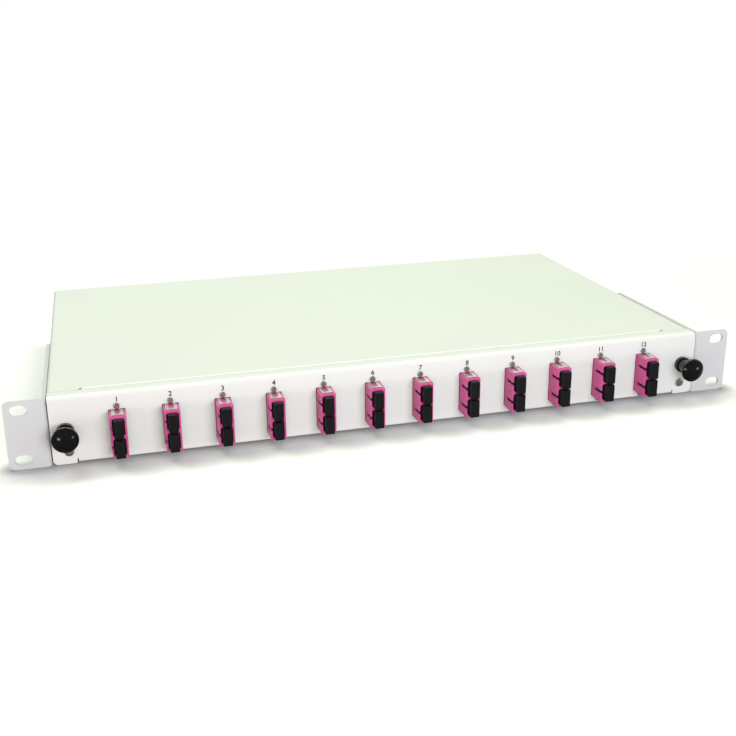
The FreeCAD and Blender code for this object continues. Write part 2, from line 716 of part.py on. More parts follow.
def gland_body(x, z):
    """Body of the gland: hexagon collar, threaded stub and the neck that holds the seal."""
    collar = REAR + GLAND_COLLAR
    stub = REAR_INSIDE - GLAND_STUB
    pieces = [hexagon(GLAND_FLATS, x, z, REAR, collar)]
    pieces.append(bar(GLAND_THREAD, x, z, stub, REAR, SIDES_WIDE))
    pieces.append(bar(GLAND_NECK, x, z, collar, GLAND_END, SIDES_WIDE))
    seat = bore(SEAL_RADIUS + FIT_GAP, x, z, collar, GLAND_END, SIDES_WIDE)
    return fused(pieces).cut(seat).cut(bore(GLAND_BORE, x, z, stub, GLAND_END, SIDES_WIDE))


def gland_seal(x, z):
    """Sealing ring that closes on the cable."""
    start = REAR + GLAND_COLLAR
    ring_body = bar(SEAL_RADIUS, x, z, start, GLAND_END, SIDES_WIDE)
    return ring_body.cut(rod(SEAL_BORE, x, z, start, GLAND_END))


def gland_cap_nut(x, z):
    """Cap nut over the neck, with a tapered crown."""
    end = CAP_NUT_START + CAP_NUT_LENGTH
    shoulder = end - CAP_NUT_CROWN
    crown = [(0, shoulder), (GLAND_FLATS / 2 - CAP_NUT_STEP, shoulder)]
    crown += [(CAP_NUT_OPENING + CAP_NUT_RIM, end), (0, end)]
    nut = hexagon(GLAND_FLATS, x, z, CAP_NUT_START, shoulder).fuse(turned(crown, x, z, SIDES_WIDE))
    nut = nut.cut(bore(GLAND_NECK + FIT_GAP, x, z, CAP_NUT_START, GLAND_END + PART_GAP, SIDES_WIDE))
    return nut.cut(bore(CAP_NUT_OPENING, x, z, GLAND_END, end, SIDES_WIDE))


def gland_locknut(x, z):
    """Hexagon nut inside the rear wall."""
    start = REAR_INSIDE - LOCKNUT_HEIGHT
    inside = bore(GLAND_THREAD + FIT_GAP, x, z, start, REAR_INSIDE, SIDES_WIDE)
    return hexagon(GLAND_FLATS, x, z, start, REAR_INSIDE).cut(inside)


def make_gland():
    """Cable gland in the first entry, in four pieces."""
    makers = (gland_body, gland_seal, gland_cap_nut, gland_locknut)
    return {maker.__name__: maker(ENTRY_PLACES[0], BOTTOM + ENTRY_Z) for maker in makers}


def make_blanking_plugs():
    """Plugs in the spare cable entries."""
    end = REAR + PLUG_HEAD_HEIGHT
    inside = REAR_INSIDE - GLAND_STUB / 2
    profile = [(0, end), (PLUG_HEAD - PLUG_BEVEL, end), (PLUG_HEAD, end - PLUG_BEVEL), (PLUG_HEAD, REAR)]
    profile += [(GLAND_THREAD, REAR), (GLAND_THREAD, inside), (0, inside)]
    z = BOTTOM + ENTRY_Z
    return Part.makeCompound([turned(profile, x, z, SIDES_SMALL) for x in ENTRY_PLACES[1:]])


def rounded_block(width, depth, corner, z0, z1):
    """Upright block about the cassette's middle, its corners rounded in a few flats."""
    points = []
    for quarter, (sx, sy) in enumerate(((1, 1), (-1, 1), (-1, -1), (1, -1))):
        centre = Vector(sx * (width / 2 - corner), CASSETTE_MIDDLE + sy * (depth / 2 - corner), z0)
        for step in range(CASSETTE_CORNER_FLATS + 1):
            angle = math.radians(90 * (quarter + step / CASSETTE_CORNER_FLATS))
            points.append(centre + Vector(math.cos(angle), math.sin(angle), 0) * corner)
    return polygon_prism(points, Z_AXIS * (z1 - z0))


def upright(radius, x, z0, z1, sides):
    """Upright bar with flat sides on the cassette's middle line."""
    post = bar(radius, x, -CASSETTE_MIDDLE, z0, z1, sides)
    post.rotate(Vector(0, 0, 0), X_AXIS, 90)
    return post


def make_cassette():
    """Splice cassette: rim, two winding cores, a comb for splice protectors and two feet."""
    floor = CASSETTE_BOTTOM + CASSETTE_WALL
    brim = CASSETTE_BOTTOM + CASSETTE_HEIGHT
    width = CASSETTE_WIDTH - 2 * CASSETTE_WALL
    depth = CASSETTE_DEPTH - 2 * CASSETTE_WALL
    body = rounded_block(CASSETTE_WIDTH, CASSETTE_DEPTH, CASSETTE_CORNER, CASSETTE_BOTTOM, brim)
    body = body.cut(rounded_block(width, depth, CASSETTE_CORNER - CASSETTE_WALL, floor, brim))
    pieces = [body] + comb_ribs(floor)
    cuts = []
    for sign in (-1, 1):
        pieces.append(winding_core(sign * CORE_X, floor, brim - CASSETTE_WALL))
        pieces.append(upright(NUT_FLATS / 2, sign * STUD_X, TRAY_FLOOR, CASSETTE_BOTTOM, SIDES_SMALL))
        cuts.append(upright(STUD_RADIUS + PART_GAP, sign * STUD_X, TRAY_FLOOR, floor, SIDES_SMALL))
    return fused(pieces).cut(Part.makeCompound(cuts))


def winding_core(x, z0, z1):
    """Low ring that fibres are wound around."""
    core = upright(CORE_RADIUS, x, z0, z1, SIDES_WIDE)
    return core.cut(upright(CORE_RADIUS - CASSETTE_WALL, x, z0, z1, SIDES_WIDE))


def comb_ribs(floor):
    """Ribs that hold the splice protectors between the cores."""
    gap = (COMB_WIDTH - COMB_RIB) / (COMB_RIBS - 1)
    y0 = CASSETTE_MIDDLE - COMB_DEPTH / 2
    places = [index * gap - COMB_WIDTH / 2 for index in range(COMB_RIBS)]
    return [box(x, x + COMB_RIB, y0, y0 + COMB_DEPTH, floor, floor + COMB_HEIGHT) for x in places]


def make_cassette_lid():
    """Flat clear lid that lies on the cassette's rim."""
    low = CASSETTE_BOTTOM + CASSETTE_HEIGHT
    return rounded_block(CASSETTE_WIDTH, CASSETTE_DEPTH, CASSETTE_CORNER, low, low + LID_SHEET)


def make_cassette_nuts():
    """Hexagon nuts that hold the cassette on its studs."""
    low = CASSETTE_BOTTOM + CASSETTE_WALL
    high = low + NUT_HEIGHT
    corner = NUT_FLATS / math.sqrt(3)
    inside = STUD_RADIUS + PART_GAP
    nuts = []
    for x in (-STUD_X, STUD_X):
        nuts.append(upright(corner, x, low, high, 6).cut(upright(inside, x, low, high, SIDES_SMALL)))
    return Part.makeCompound(nuts)


def saddle(x, y):
    """Open ring on the tray that keeps fibres in place, with its mouth at the top."""
    y0 = FRONT + y
    y1 = y0 + SADDLE_DEPTH
    middle = TRAY_FLOOR + SADDLE_RADIUS
    hollow = bar(SADDLE_RADIUS - SADDLE_WALL, x, middle, y0, y1, SIDES_REPEATED)
    half = SADDLE_MOUTH / 2
    mouth = box(x - half, x + half, y0, y1, middle, middle + SADDLE_RADIUS)
    foot = box(x - half, x + half, y0, y1, TRAY_FLOOR, TRAY_FLOOR + SADDLE_WALL)
    loop = bar(SADDLE_RADIUS, x, middle, y0, y1, SIDES_REPEATED)
    return loop.fuse(foot).cut(hollow).cut(mouth).removeSplitter()


def make_fibre_clips():
    """Saddles on the tray floor."""
    return Part.makeCompound([saddle(x, y) for x, y in CLIP_PLACES])


def make_parts():
    """Every node of the box by name."""
    ear = make_ear()
    parts = {
        "casing_cover": make_cover(),
        "casing_base": make_base(),
        "ear_right": ear,
        "ear_left": mirrored(ear),
        "casing_screws": make_casing_screws(),
        "blanking_plugs": make_blanking_plugs(),
        "front_panel": make_panel(),
        "drawer_tray": make_tray(),
        "panel_screws": make_panel_screws(),
        "latch_bushes": make_bushes(),
        "latch_knob_left": make_knob(-LATCH_X),
        "latch_knob_right": make_knob(LATCH_X),
        "adapter_screws": make_adapter_screws(),
        "adapter_clips": make_adapter_clips(),
        "rear_dust_caps": make_rear_caps(),
        "splice_cassette": make_cassette(),
        "cassette_lid": make_cassette_lid(),
        "cassette_nuts": make_cassette_nuts(),
        "fibre_clips": make_fibre_clips(),
    }
    parts.update(make_gland())
    cap_face = FRONT - ADAPTER_FRONT - CAP_FIT
    for number, x in enumerate(adapter_places(), start=1):
        parts[f"adapter_{number:02d}"] = make_adapter(x)
        for level, z in port_heights().items():
            parts[f"dust_cap_{number:02d}_{level}"] = dust_cap(x, z, cap_face, -1)
    return parts


def main():
    os.makedirs("parts", exist_ok=True)
    for name, shape in make_parts().items():
        shape.exportStep(f"parts/{name}.step")


main()
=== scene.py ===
import json
import math

import bmesh
import bpy
from mathutils import Euler, Matrix, Vector


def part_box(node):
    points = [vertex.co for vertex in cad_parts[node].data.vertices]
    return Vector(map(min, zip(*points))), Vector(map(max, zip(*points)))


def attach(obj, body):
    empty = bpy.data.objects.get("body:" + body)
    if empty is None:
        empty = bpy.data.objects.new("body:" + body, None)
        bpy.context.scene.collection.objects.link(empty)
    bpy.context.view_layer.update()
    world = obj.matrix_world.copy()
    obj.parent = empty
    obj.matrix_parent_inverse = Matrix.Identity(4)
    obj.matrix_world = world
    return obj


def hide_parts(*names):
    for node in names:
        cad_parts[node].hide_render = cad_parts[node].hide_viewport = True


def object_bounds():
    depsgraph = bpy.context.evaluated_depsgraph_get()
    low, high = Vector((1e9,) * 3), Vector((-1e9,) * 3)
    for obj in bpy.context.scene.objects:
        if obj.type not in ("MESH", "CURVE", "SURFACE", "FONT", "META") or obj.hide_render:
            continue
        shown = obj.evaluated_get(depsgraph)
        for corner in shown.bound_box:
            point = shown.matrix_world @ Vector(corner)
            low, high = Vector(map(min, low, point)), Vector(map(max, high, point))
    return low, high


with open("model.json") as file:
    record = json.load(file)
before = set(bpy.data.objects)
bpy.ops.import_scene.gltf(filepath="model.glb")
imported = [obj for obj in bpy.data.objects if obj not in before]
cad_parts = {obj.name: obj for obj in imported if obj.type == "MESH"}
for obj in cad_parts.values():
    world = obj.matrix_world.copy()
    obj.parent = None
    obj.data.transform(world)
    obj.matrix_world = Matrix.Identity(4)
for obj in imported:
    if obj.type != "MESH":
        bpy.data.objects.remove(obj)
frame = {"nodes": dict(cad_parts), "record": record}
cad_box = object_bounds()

# A fibre splice box for a 19-inch rack. Metres; X to the right, Y into the rack, Z up.

MM = 0.001

# Viewpoint; the shift stands for the photo's cropped edges
CAMERA_PLACE = (-0.1775, -0.5794, 0.2367)
CAMERA_TURN = (71.753, 0.872, -14.42)
CAMERA_LENS = 48.94
CAMERA_SHIFT = (0.0282, -0.0377)
CAMERA_SENSOR = 36.0
CAMERA_REACH = 50.0

# Finishes, as red, green and blue out of 255
COAT_COLOUR = (231, 233, 229)
COAT_EDGE_COLOUR = (241, 243, 239)
# The ears take a darker copy of the casing's coat: painted shade where less light falls on the ears than on
# the panel
EAR_PAINTED_SHADE_COLOUR = (209, 211, 212)
EAR_PAINTED_SHADE_EDGE_COLOUR = (224, 226, 226)
ADAPTER_COLOUR = (210, 81, 146)
ADAPTER_EDGE_COLOUR = (222, 122, 172)
ADAPTER_BOUNCE = (92, 88, 92)
CAP_COLOUR = (27, 27, 30)
CAP_EDGE_COLOUR = (60, 61, 64)
LATCH_COLOUR = (9, 9, 10)
LATCH_EDGE_COLOUR = (30, 30, 32)
SCREW_COLOUR = (206, 205, 200)
SCREW_EDGE_COLOUR = (238, 238, 234)
SPRING_COLOUR = (206, 205, 203)
SPRING_EDGE_COLOUR = (236, 236, 234)
GLAND_COLOUR = (176, 180, 182)
GLAND_EDGE_COLOUR = (205, 208, 210)
RUBBER_COLOUR = (26, 26, 27)
RUBBER_EDGE_COLOUR = (48, 48, 50)
CASSETTE_COLOUR = (188, 192, 194)
CASSETTE_EDGE_COLOUR = (214, 217, 219)
LID_COLOUR = (226, 232, 234)
LID_EDGE_COLOUR = (240, 244, 246)
SADDLE_COLOUR = (224, 224, 218)
SADDLE_EDGE_COLOUR = (238, 238, 234)
SLEEVE_COLOUR = (236, 233, 224)
SLEEVE_EDGE_COLOUR = (248, 247, 240)
INK_COLOUR = (20, 20, 22)
INK_EDGE_COLOUR = (40, 40, 42)

# Patterns on the surfaces
GRAIN_COARSE_DETAIL = 2.0
GRAIN_COARSE_SHARE = 0.7
GRAIN_FINE_DETAIL = 3.0
GRAIN_FINE_SHARE = 0.3
RUB_SAMPLES = 4
RUB_SCALE = 260.0
RUB_DETAIL = 4.0
RUB_CONTRAST = 1.2
RUB_LEAST = 0.25
HANDLING_DETAIL = 4.0
HANDLING_ROUGHNESS = 0.6

# Edges
SHEET_EDGE = 0.18 * MM
MOULDED_EDGE = 0.22 * MM
STAMPED_EDGE = 0.06 * MM
SMOOTH_ANGLE = math.radians(32)
BEVEL_ANGLE = math.radians(40)
FLAT_ANGLE = math.radians(1.5)
WELD = 0.002 * MM
CORNER_STEPS = 3
CORNER_SIGNS = ((-1, -1), (1, -1), (1, 1), (-1, 1))

# Adapters and their caps
PORT_PITCH = 12.7 * MM
PORT_CORNER = 0.9 * MM
PORT_CORNER_STEPS = 4
PORT_DEPTH = 5.0 * MM
PORT_ALONG_Y = 0.999
GRIP_WIDTH = 5.7 * MM
GRIP_HEIGHT = 11.4 * MM
GRIP_DEPTH = 4.3 * MM
GRIP_RIM = 0.3 * MM
GRIP_CORNER = 0.4 * MM
WAIST_HEIGHT = 10.2 * MM
WAIST_DEPTH = 0.9 * MM
PLUG_WIDTH = 7.2 * MM
PLUG_CORNER = 0.7 * MM
PLUG_END = 6.5 * MM
REAR_CAP_FACE = 12.8 * MM
SLEEVE_RADIUS = 1.6 * MM
SLEEVE_BORE = 1.25 * MM
SLEEVE_LENGTH = 4.8 * MM
SLEEVE_STEPS = 24
FRONT_SLEEVE = -5.6 * MM
REAR_SLEEVE = 1.2 * MM

# Screws: head radius, head height, recess reach, recess width, recess depth, length, flats round
M2_SCREW = (1.9 * MM, 1.4 * MM, 1.45 * MM, 0.75 * MM, 1.2 * MM, 5.0 * MM, 24)
M3_SCREW = (2.9 * MM, 2.0 * MM, 2.1 * MM, 0.95 * MM, 1.6 * MM, 6.0 * MM, 32)
M4_SCREW = (3.9 * MM, 2.6 * MM, 2.5 * MM, 0.95 * MM, 1.6 * MM, 6.0 * MM, 40)
HEAD_CROWN = 0.55
HEAD_STEPS = 5
RECESS_TAPER = 0.55
RECESS_RISE = 0.2 * MM
M2_SPACING = 31.0 * MM
M3_X = 206.0 * MM
EAR_FACE = 218.4 * MM
SIDE_FACE = 216.4 * MM
EAR_SCREWS = ((28.0 * MM, 0.0), (86.0 * MM, 0.0))
COVER_SCREWS = ((148.0 * MM, -14.8 * MM), (230.0 * MM, -14.8 * MM))
TURN_SEED = 7

# Latches, measured from the panel's face
KNOB_RADIUS = 8.0 * MM
KNOB_STEP = 0.6 * MM
KNOB_RIM_BACK = -12.4 * MM
KNOB_RIM_FRONT = -14.4 * MM
KNOB_BASE = -3.3 * MM
KNOB_WAIST = 4.0 * MM
KNOB_NECK = 4.5 * MM
KNOB_STEPS = 72
KNOB_DOME_STEPS = 14
KNOB_RIM_STEPS = 5
PIN_RADIUS = 2.0 * MM
BUSH_RADIUS = 4.0 * MM
BUSH_FLANGE = 5.5 * MM
BUSH_FRONT = -3.0 * MM
BUSH_END = 8.0 * MM
BUSH_BORE = 2.2 * MM
BUSH_ROUND = 0.7 * MM
BUSH_ROUND_START = 280
BUSH_ROUND_STEPS = 4
BUSH_STEPS = 64
LATCH_X = 207.0 * MM

# Rear wall and tray pieces
BLANK_PLACES = (-90.0 * MM, 90.0 * MM, 150.0 * MM)
BLANK_FLANGE = 12.2 * MM
BLANK_NECK = 9.9 * MM
BLANK_FACE = 2.5 * MM
BLANK_ROUND = 1.0 * MM
BLANK_ROUND_START = 60
BLANK_DISH = 7.0 * MM
BLANK_DISH_RIM = 7.6 * MM
BLANK_DISH_FACE = 1.7 * MM
BLANK_STEPS = 64
SEAL_RADIUS = 8.2 * MM
SEAL_BORE = 6.0 * MM
SEAL_CHAMFER = 0.6 * MM
SEAL_STEPS = 48
SADDLE_X = 150.0 * MM
SADDLE_ROWS = (62.0 * MM, 162.0 * MM)
SADDLE_RADIUS = 7.0 * MM
SADDLE_INSIDE = 5.6 * MM
SADDLE_DEPTH = 8.0 * MM
SADDLE_MOUTH = 18.0
SADDLE_FOOT = 2.0 * MM
SADDLE_STEPS = 32

# Numbers over the adapters
NUMBER_HEIGHT = 3.1 * MM
NUMBER_ABOVE_SCREW = 4.2 * MM
NUMBER_ASIDE = 0.3 * MM
NUMBER_THICKNESS = 0.03 * MM
NUMBER_BOLD = 0.02
FONT_CAP_SHARE = 0.70

# Light
SKY_COLOUR = (0.95, 0.97, 1.0, 1.0)
SKY_LEVEL = 0.24
GLOSS_LEVEL = 0.16
BACKGROUND_LEVEL = 1.0
FLOOR_REACH = 6.0
FLOOR_CLEAR = 0.36
FLOOR_FADE = 0.30
FLOOR_COLOUR = (252, 252, 252)
# Painted shade on the floor: a darker floor tone along the object's front edge, with its half width and its
# reach
PAINTED_CONTACT_SHADE_HALF = 241.0 * MM
PAINTED_CONTACT_SHADE_REACH = 13.0 * MM
PAINTED_CONTACT_SHADE_TONE = (184, 184, 185)
FLOOR_BOUNCE = (192, 193, 200)
FLOOR_IN_GLOSS = (96, 94, 92)

# Lamps: place, target, width and height, power, colour, seen in gloss
LAMPS = {
    "overhead left": ((-0.45, 0.52, 1.22), (-0.15, 0.1, 0.0), (0.9, 0.5), 10.0, (0.94, 1.0, 0.92), True),
    "overhead right": ((0.45, 0.6, 1.22), (0.15, 0.13, 0.0), (0.9, 0.5), 10.2, (0.90, 1.0, 0.72), True),
    "front fill, warm": ((-0.18, -0.72, 0.2), (-0.08, 0.0, 0.0), (0.4, 0.2), 1.75, (1.0, 0.86, 0.79), False),
    "front fill, cool": ((0.1, -0.72, 0.2), (0.06, 0.0, 0.0), (0.4, 0.2), 3.15, (0.95, 0.94, 1.0), False),
    "front left": ((-0.95, -0.75, 0.1), (0.05, 0.0, 0.0), (0.4, 0.25), 1.6, (1.0, 0.84, 0.76), True),
    "front right": ((1.0, -0.8, 0.12), (0.0, 0.0, 0.0), (0.4, 0.25), 1.0, (0.86, 0.9, 1.0), True),
}

nodes = frame["nodes"]
bodies = frame["record"]["behaviour"]["bodies"]
body_of_node = {node: body for body, members in bodies.items() for node in members}
slot_of_node = {row["node"]: row["material_slot"] for row in frame["record"]["subparts"]}


def linear(colour):
    """Scene-linear colour of red, green and blue out of 255."""
    parts = [value / 255 for value in colour]
    return [c / 12.92 if c <= 0.04045 else ((c + 0.055) / 1.055) ** 2.4 for c in parts] + [1.0]


# Shader groups

def new_group(name, inputs, outputs):
    """Shader group with named float inputs and outputs, and its two ends."""
    tree = bpy.data.node_groups.new(name, "ShaderNodeTree")
    for label, value in inputs:
        socket = tree.interface.new_socket(name=label, in_out="INPUT", socket_type="NodeSocketFloat")
        socket.default_value = value
    for label in outputs:
        tree.interface.new_socket(name=label, in_out="OUTPUT", socket_type="NodeSocketFloat")
    return tree, tree.nodes.new("NodeGroupInput"), tree.nodes.new("NodeGroupOutput")


def noise(tree, vector, scale, detail, roughness=0.5):
    """Noise texture on a vector; the scale may be a number or a socket."""
    node = tree.nodes.new("ShaderNodeTexNoise")
    node.inputs["Detail"].default_value = detail
    node.inputs["Roughness"].default_value = roughness
    tree.links.new(vector, node.inputs["Vector"])
    if isinstance(scale, bpy.types.NodeSocket):
        tree.links.new(scale, node.inputs["Scale"])
    else:
        node.inputs["Scale"].default_value = scale
    return node.outputs["Fac"]


def math_node(tree, operation, first, second=None, third=None, clamp=False):
    """Math node on sockets or numbers."""
    node = tree.nodes.new("ShaderNodeMath")
    node.operation = operation
    node.use_clamp = clamp
    for index, value in enumerate((first, second, third)):
        if value is None:
            continue
        if isinstance(value, bpy.types.NodeSocket):
            tree.links.new(value, node.inputs[index])
        else:
            node.inputs[index].default_value = value
    return node.outputs["Value"]


def surface_grain_group():
    """Fine relief of a coated or moulded surface, as a height from 0 to 1."""
    tree, ends_in, ends_out = new_group("surface grain", (("Scale", 900.0), ("Fineness", 3.0)), ("Height",))
    place = tree.nodes.new("ShaderNodeTexCoord").outputs["Object"]
    coarse = noise(tree, place, ends_in.outputs["Scale"], GRAIN_COARSE_DETAIL)
    fine_scale = math_node(tree, "MULTIPLY", ends_in.outputs["Scale"], ends_in.outputs["Fineness"])
    fine = math_node(tree, "MULTIPLY", noise(tree, place, fine_scale, GRAIN_FINE_DETAIL), GRAIN_FINE_SHARE)
    both = math_node(tree, "MULTIPLY_ADD", coarse, GRAIN_COARSE_SHARE, fine)
    tree.links.new(both, ends_out.inputs["Height"])
    return tree


def edge_rub_group():
    """Mask of rounded and rubbed edges, broken up along their length."""
    tree, ends_in, ends_out = new_group("edge rub", (("Radius", 0.0004), ("Spread", 3.0)), ("Mask",))
    bevel = tree.nodes.new("ShaderNodeBevel")
    bevel.samples = RUB_SAMPLES
    tree.links.new(ends_in.outputs["Radius"], bevel.inputs["Radius"])
    dot = tree.nodes.new("ShaderNodeVectorMath")
    dot.operation = "DOT_PRODUCT"
    tree.links.new(bevel.outputs["Normal"], dot.inputs[0])
    tree.links.new(tree.nodes.new("ShaderNodeNewGeometry").outputs["Normal"], dot.inputs[1])
    turn = math_node(tree, "SUBTRACT", 1.0, dot.outputs["Value"])
    spread = math_node(tree, "MULTIPLY", turn, ends_in.outputs["Spread"], clamp=True)
    place = tree.nodes.new("ShaderNodeTexCoord").outputs["Object"]
    worn = noise(tree, place, RUB_SCALE, RUB_DETAIL)
    broken = math_node(tree, "MULTIPLY_ADD", worn, RUB_CONTRAST, RUB_LEAST)
    tree.links.new(math_node(tree, "MULTIPLY", spread, broken, clamp=True), ends_out.inputs["Mask"])
    return tree


def handling_group():
    """Soft patches where hands and cloths have changed the gloss, from 0 to 1."""
    tree, ends_in, ends_out = new_group("handling marks", (("Size", 14.0), ("Contrast", 1.6)), ("Patch",))
    place = tree.nodes.new("ShaderNodeTexCoord").outputs["Object"]
    cloud = noise(tree, place, ends_in.outputs["Size"], HANDLING_DETAIL, HANDLING_ROUGHNESS)
    patch = math_node(tree, "SUBTRACT", cloud, 0.5)
    spread = math_node(tree, "MULTIPLY", patch, ends_in.outputs["Contrast"])
    tree.links.new(math_node(tree, "ADD", spread, 0.5, clamp=True), ends_out.inputs["Patch"])
    return tree


GRAIN = surface_grain_group()
EDGE_RUB = edge_rub_group()
HANDLING = handling_group()


def placed_group(tree, group, **values):
    """Group node in a material, with its own values."""
    node = tree.nodes.new("ShaderNodeGroup")
    node.node_tree = group
    for label, value in values.items():
        node.inputs[label].default_value = value
    return node


def mixed_colour(tree, mask, first, second):
    """Mix of two colours, or of a socket and a colour, by a mask."""
    node = tree.nodes.new("ShaderNodeMix")
    node.data_type = "RGBA"
    tree.links.new(mask, node.inputs["Factor"])
    for socket, value in ((node.inputs[6], first), (node.inputs[7], second)):
        if isinstance(value, bpy.types.NodeSocket):
            tree.links.new(value, socket)
        else:
            socket.default_value = value
    return node.outputs[2]


def finish_material(name, colour, edge_colour, roughness, metallic=0.0, edge=(0.0004, 3.0), edge_share=0.6,
                    grain=(900.0, 3.0), relief=0.01, patch=(14.0, 1.6), patch_tone=0.04, patch_gloss=0.08,
                    bounce=None, **more):
    """Material with grain, handling marks and edges: the radius of an edge is in metres, the grain and
    the patches are counted per metre, the relief is in millimetres. A bounce colour is what it gives to
    the surfaces around it. What more is given goes to the shader's own inputs, with spaces for
    underscores."""
    material = bpy.data.materials.new(name)
    material.use_nodes = True
    tree = material.node_tree
    shader = tree.nodes["Principled BSDF"]
    shader.inputs["Metallic"].default_value = metallic
    for label, value in more.items():
        shader.inputs[label.replace("_", " ")].default_value = value
    rub = placed_group(tree, EDGE_RUB, Radius=edge[0], Spread=edge[1])
    marks = placed_group(tree, HANDLING, Size=patch[0], Contrast=patch[1])
    share = math_node(tree, "MULTIPLY", rub.outputs["Mask"], edge_share)
    base = linear(colour)
    dull = [value * (1 - patch_tone) for value in base[:3]] + [1.0]
    toned = mixed_colour(tree, marks.outputs["Patch"], dull, base)
    seen = mixed_colour(tree, share, toned, linear(edge_colour))
    if bounce:
        path = tree.nodes.new("ShaderNodeLightPath")
        seen = mixed_colour(tree, path.outputs["Is Diffuse Ray"], seen, linear(bounce))
    tree.links.new(seen, shader.inputs["Base Color"])
    gloss = tree.nodes.new("ShaderNodeMapRange")
    gloss.inputs["To Min"].default_value = roughness - patch_gloss / 2
    gloss.inputs["To Max"].default_value = roughness + patch_gloss / 2
    tree.links.new(marks.outputs["Patch"], gloss.inputs["Value"])
    tree.links.new(gloss.outputs["Result"], shader.inputs["Roughness"])
    texture = placed_group(tree, GRAIN, Scale=grain[0], Fineness=grain[1])
    bump = tree.nodes.new("ShaderNodeBump")
    bump.inputs["Strength"].default_value = 1.0
    bump.inputs["Distance"].default_value = relief * MM
    tree.links.new(texture.outputs["Height"], bump.inputs["Height"])
    tree.links.new(bump.outputs["Normal"], shader.inputs["Normal"])
    return material


MATERIALS = {
    "powder_coat": finish_material(
        "powder coat", COAT_COLOUR, COAT_EDGE_COLOUR, 0.42, edge=(0.0006, 2.0), edge_share=0.5,
        grain=(700.0, 2.6), relief=0.012, patch=(9.0, 1.4), patch_tone=0.02, patch_gloss=0.06),
    # Darker copy of the powder coat for the ears: painted shade
    "ear_coat_painted_shade": finish_material(
        "ear coat with painted shade", EAR_PAINTED_SHADE_COLOUR, EAR_PAINTED_SHADE_EDGE_COLOUR, 0.42, edge=(0.0006, 2.0), edge_share=0.5,
        grain=(700.0, 2.6), relief=0.012, patch=(12.0, 1.4), patch_tone=0.03, patch_gloss=0.06),
    "adapter_violet": finish_material(
        "adapter plastic", ADAPTER_COLOUR, ADAPTER_EDGE_COLOUR, 0.42, edge=(0.0005, 3.0), edge_share=0.7,
        grain=(2400.0, 2.0), relief=0.004, patch=(60.0, 1.5), patch_tone=0.08, bounce=ADAPTER_BOUNCE,
        Subsurface_Weight=0.06, Subsurface_Radius=(0.0012, 0.0005, 0.0009), Specular_IOR_Level=0.35),
    "cap_black": finish_material(
        "dust cap plastic", CAP_COLOUR, CAP_EDGE_COLOUR, 0.58, edge=(0.0003, 3.0), edge_share=0.5,
        grain=(3000.0, 2.0), relief=0.006, patch=(110.0, 1.8), patch_tone=0.25, patch_gloss=0.14,
        Specular_IOR_Level=0.2),
    "latch_black": finish_material(
        "latch plastic", LATCH_COLOUR, LATCH_EDGE_COLOUR, 0.16, edge=(0.0003, 2.0), edge_share=0.3,
        grain=(500.0, 2.0), relief=0.004, patch=(120.0, 1.5), patch_tone=0.2, patch_gloss=0.08,
        Coat_Weight=0.3, Coat_Roughness=0.08),
    "screw_steel": finish_material(
        "plated screw", SCREW_COLOUR, SCREW_EDGE_COLOUR, 0.28, metallic=0.85, edge=(0.0002, 3.0),
        edge_share=0.5, grain=(5000.0, 2.0), relief=0.003, patch=(400.0, 1.6), patch_tone=0.2,
        patch_gloss=0.16),
    "spring_steel": finish_material(
        "spring steel", SPRING_COLOUR, SPRING_EDGE_COLOUR, 0.38, metallic=1.0, edge=(0.0002, 3.0),
        edge_share=0.5, grain=(4000.0, 3.0), relief=0.003, patch=(300.0, 1.6), patch_tone=0.16,
        patch_gloss=0.14),
    "gland_grey": finish_material(
        "gland plastic", GLAND_COLOUR, GLAND_EDGE_COLOUR, 0.45, edge=(0.0006, 3.0), edge_share=0.5,
        grain=(1600.0, 2.5), relief=0.01, patch=(50.0, 1.6), patch_tone=0.06),
    "seal_rubber": finish_material(
        "seal rubber", RUBBER_COLOUR, RUBBER_EDGE_COLOUR, 0.7, grain=(2200.0, 2.0), relief=0.02,
        patch=(90.0, 1.6), patch_tone=0.2),
    "cassette_grey": finish_material(
        "cassette plastic", CASSETTE_COLOUR, CASSETTE_EDGE_COLOUR, 0.4, edge=(0.0006, 3.0),
        grain=(1500.0, 2.5), relief=0.008, patch=(30.0, 1.6), patch_tone=0.05),
    "lid_clear": finish_material(
        "clear lid", LID_COLOUR, LID_EDGE_COLOUR, 0.12, grain=(300.0, 2.0), relief=0.004,
        patch=(20.0, 1.6), patch_tone=0.03, Transmission_Weight=0.85, IOR=1.5),
    "clip_white": finish_material(
        "saddle nylon", SADDLE_COLOUR, SADDLE_EDGE_COLOUR, 0.42, grain=(2000.0, 2.5), relief=0.006,
        patch=(80.0, 1.6), patch_tone=0.05),
    "sleeve": finish_material(
        "sleeve ceramic", SLEEVE_COLOUR, SLEEVE_EDGE_COLOUR, 0.2, grain=(4000.0, 2.0), relief=0.002,
        patch=(200.0, 1.4), patch_tone=0.04),
    "ink": finish_material(
        "printed ink", INK_COLOUR, INK_EDGE_COLOUR, 0.5, grain=(4000.0, 2.0), relief=0.003,
        patch=(500.0, 1.8), patch_tone=0.3),
}


# Mesh helpers

def new_object(name, mesh):
    """Object at the origin with its place in its mesh."""
    piece = bpy.data.objects.new(name, mesh)
    bpy.context.scene.collection.objects.link(piece)
    return piece


def mesh_from(name, work):
    """Mesh with outward faces from a working mesh, which ends here."""
    bmesh.ops.recalc_face_normals(work, faces=work.faces)
    mesh = bpy.data.meshes.new(name)
    work.to_mesh(mesh)
    work.free()
    return mesh


def smooth_by_angle(mesh, angle=SMOOTH_ANGLE):
    """Smooth shading, with sharp edges where faces meet at more than the angle."""
    work = bmesh.new()
    work.from_mesh(mesh)
    for face in work.faces:
        face.smooth = True
    for edge in work.edges:
        edge.smooth = len(edge.link_faces) == 2 and edge.calc_face_angle(math.pi) < angle
    work.to_mesh(mesh)
    work.free()


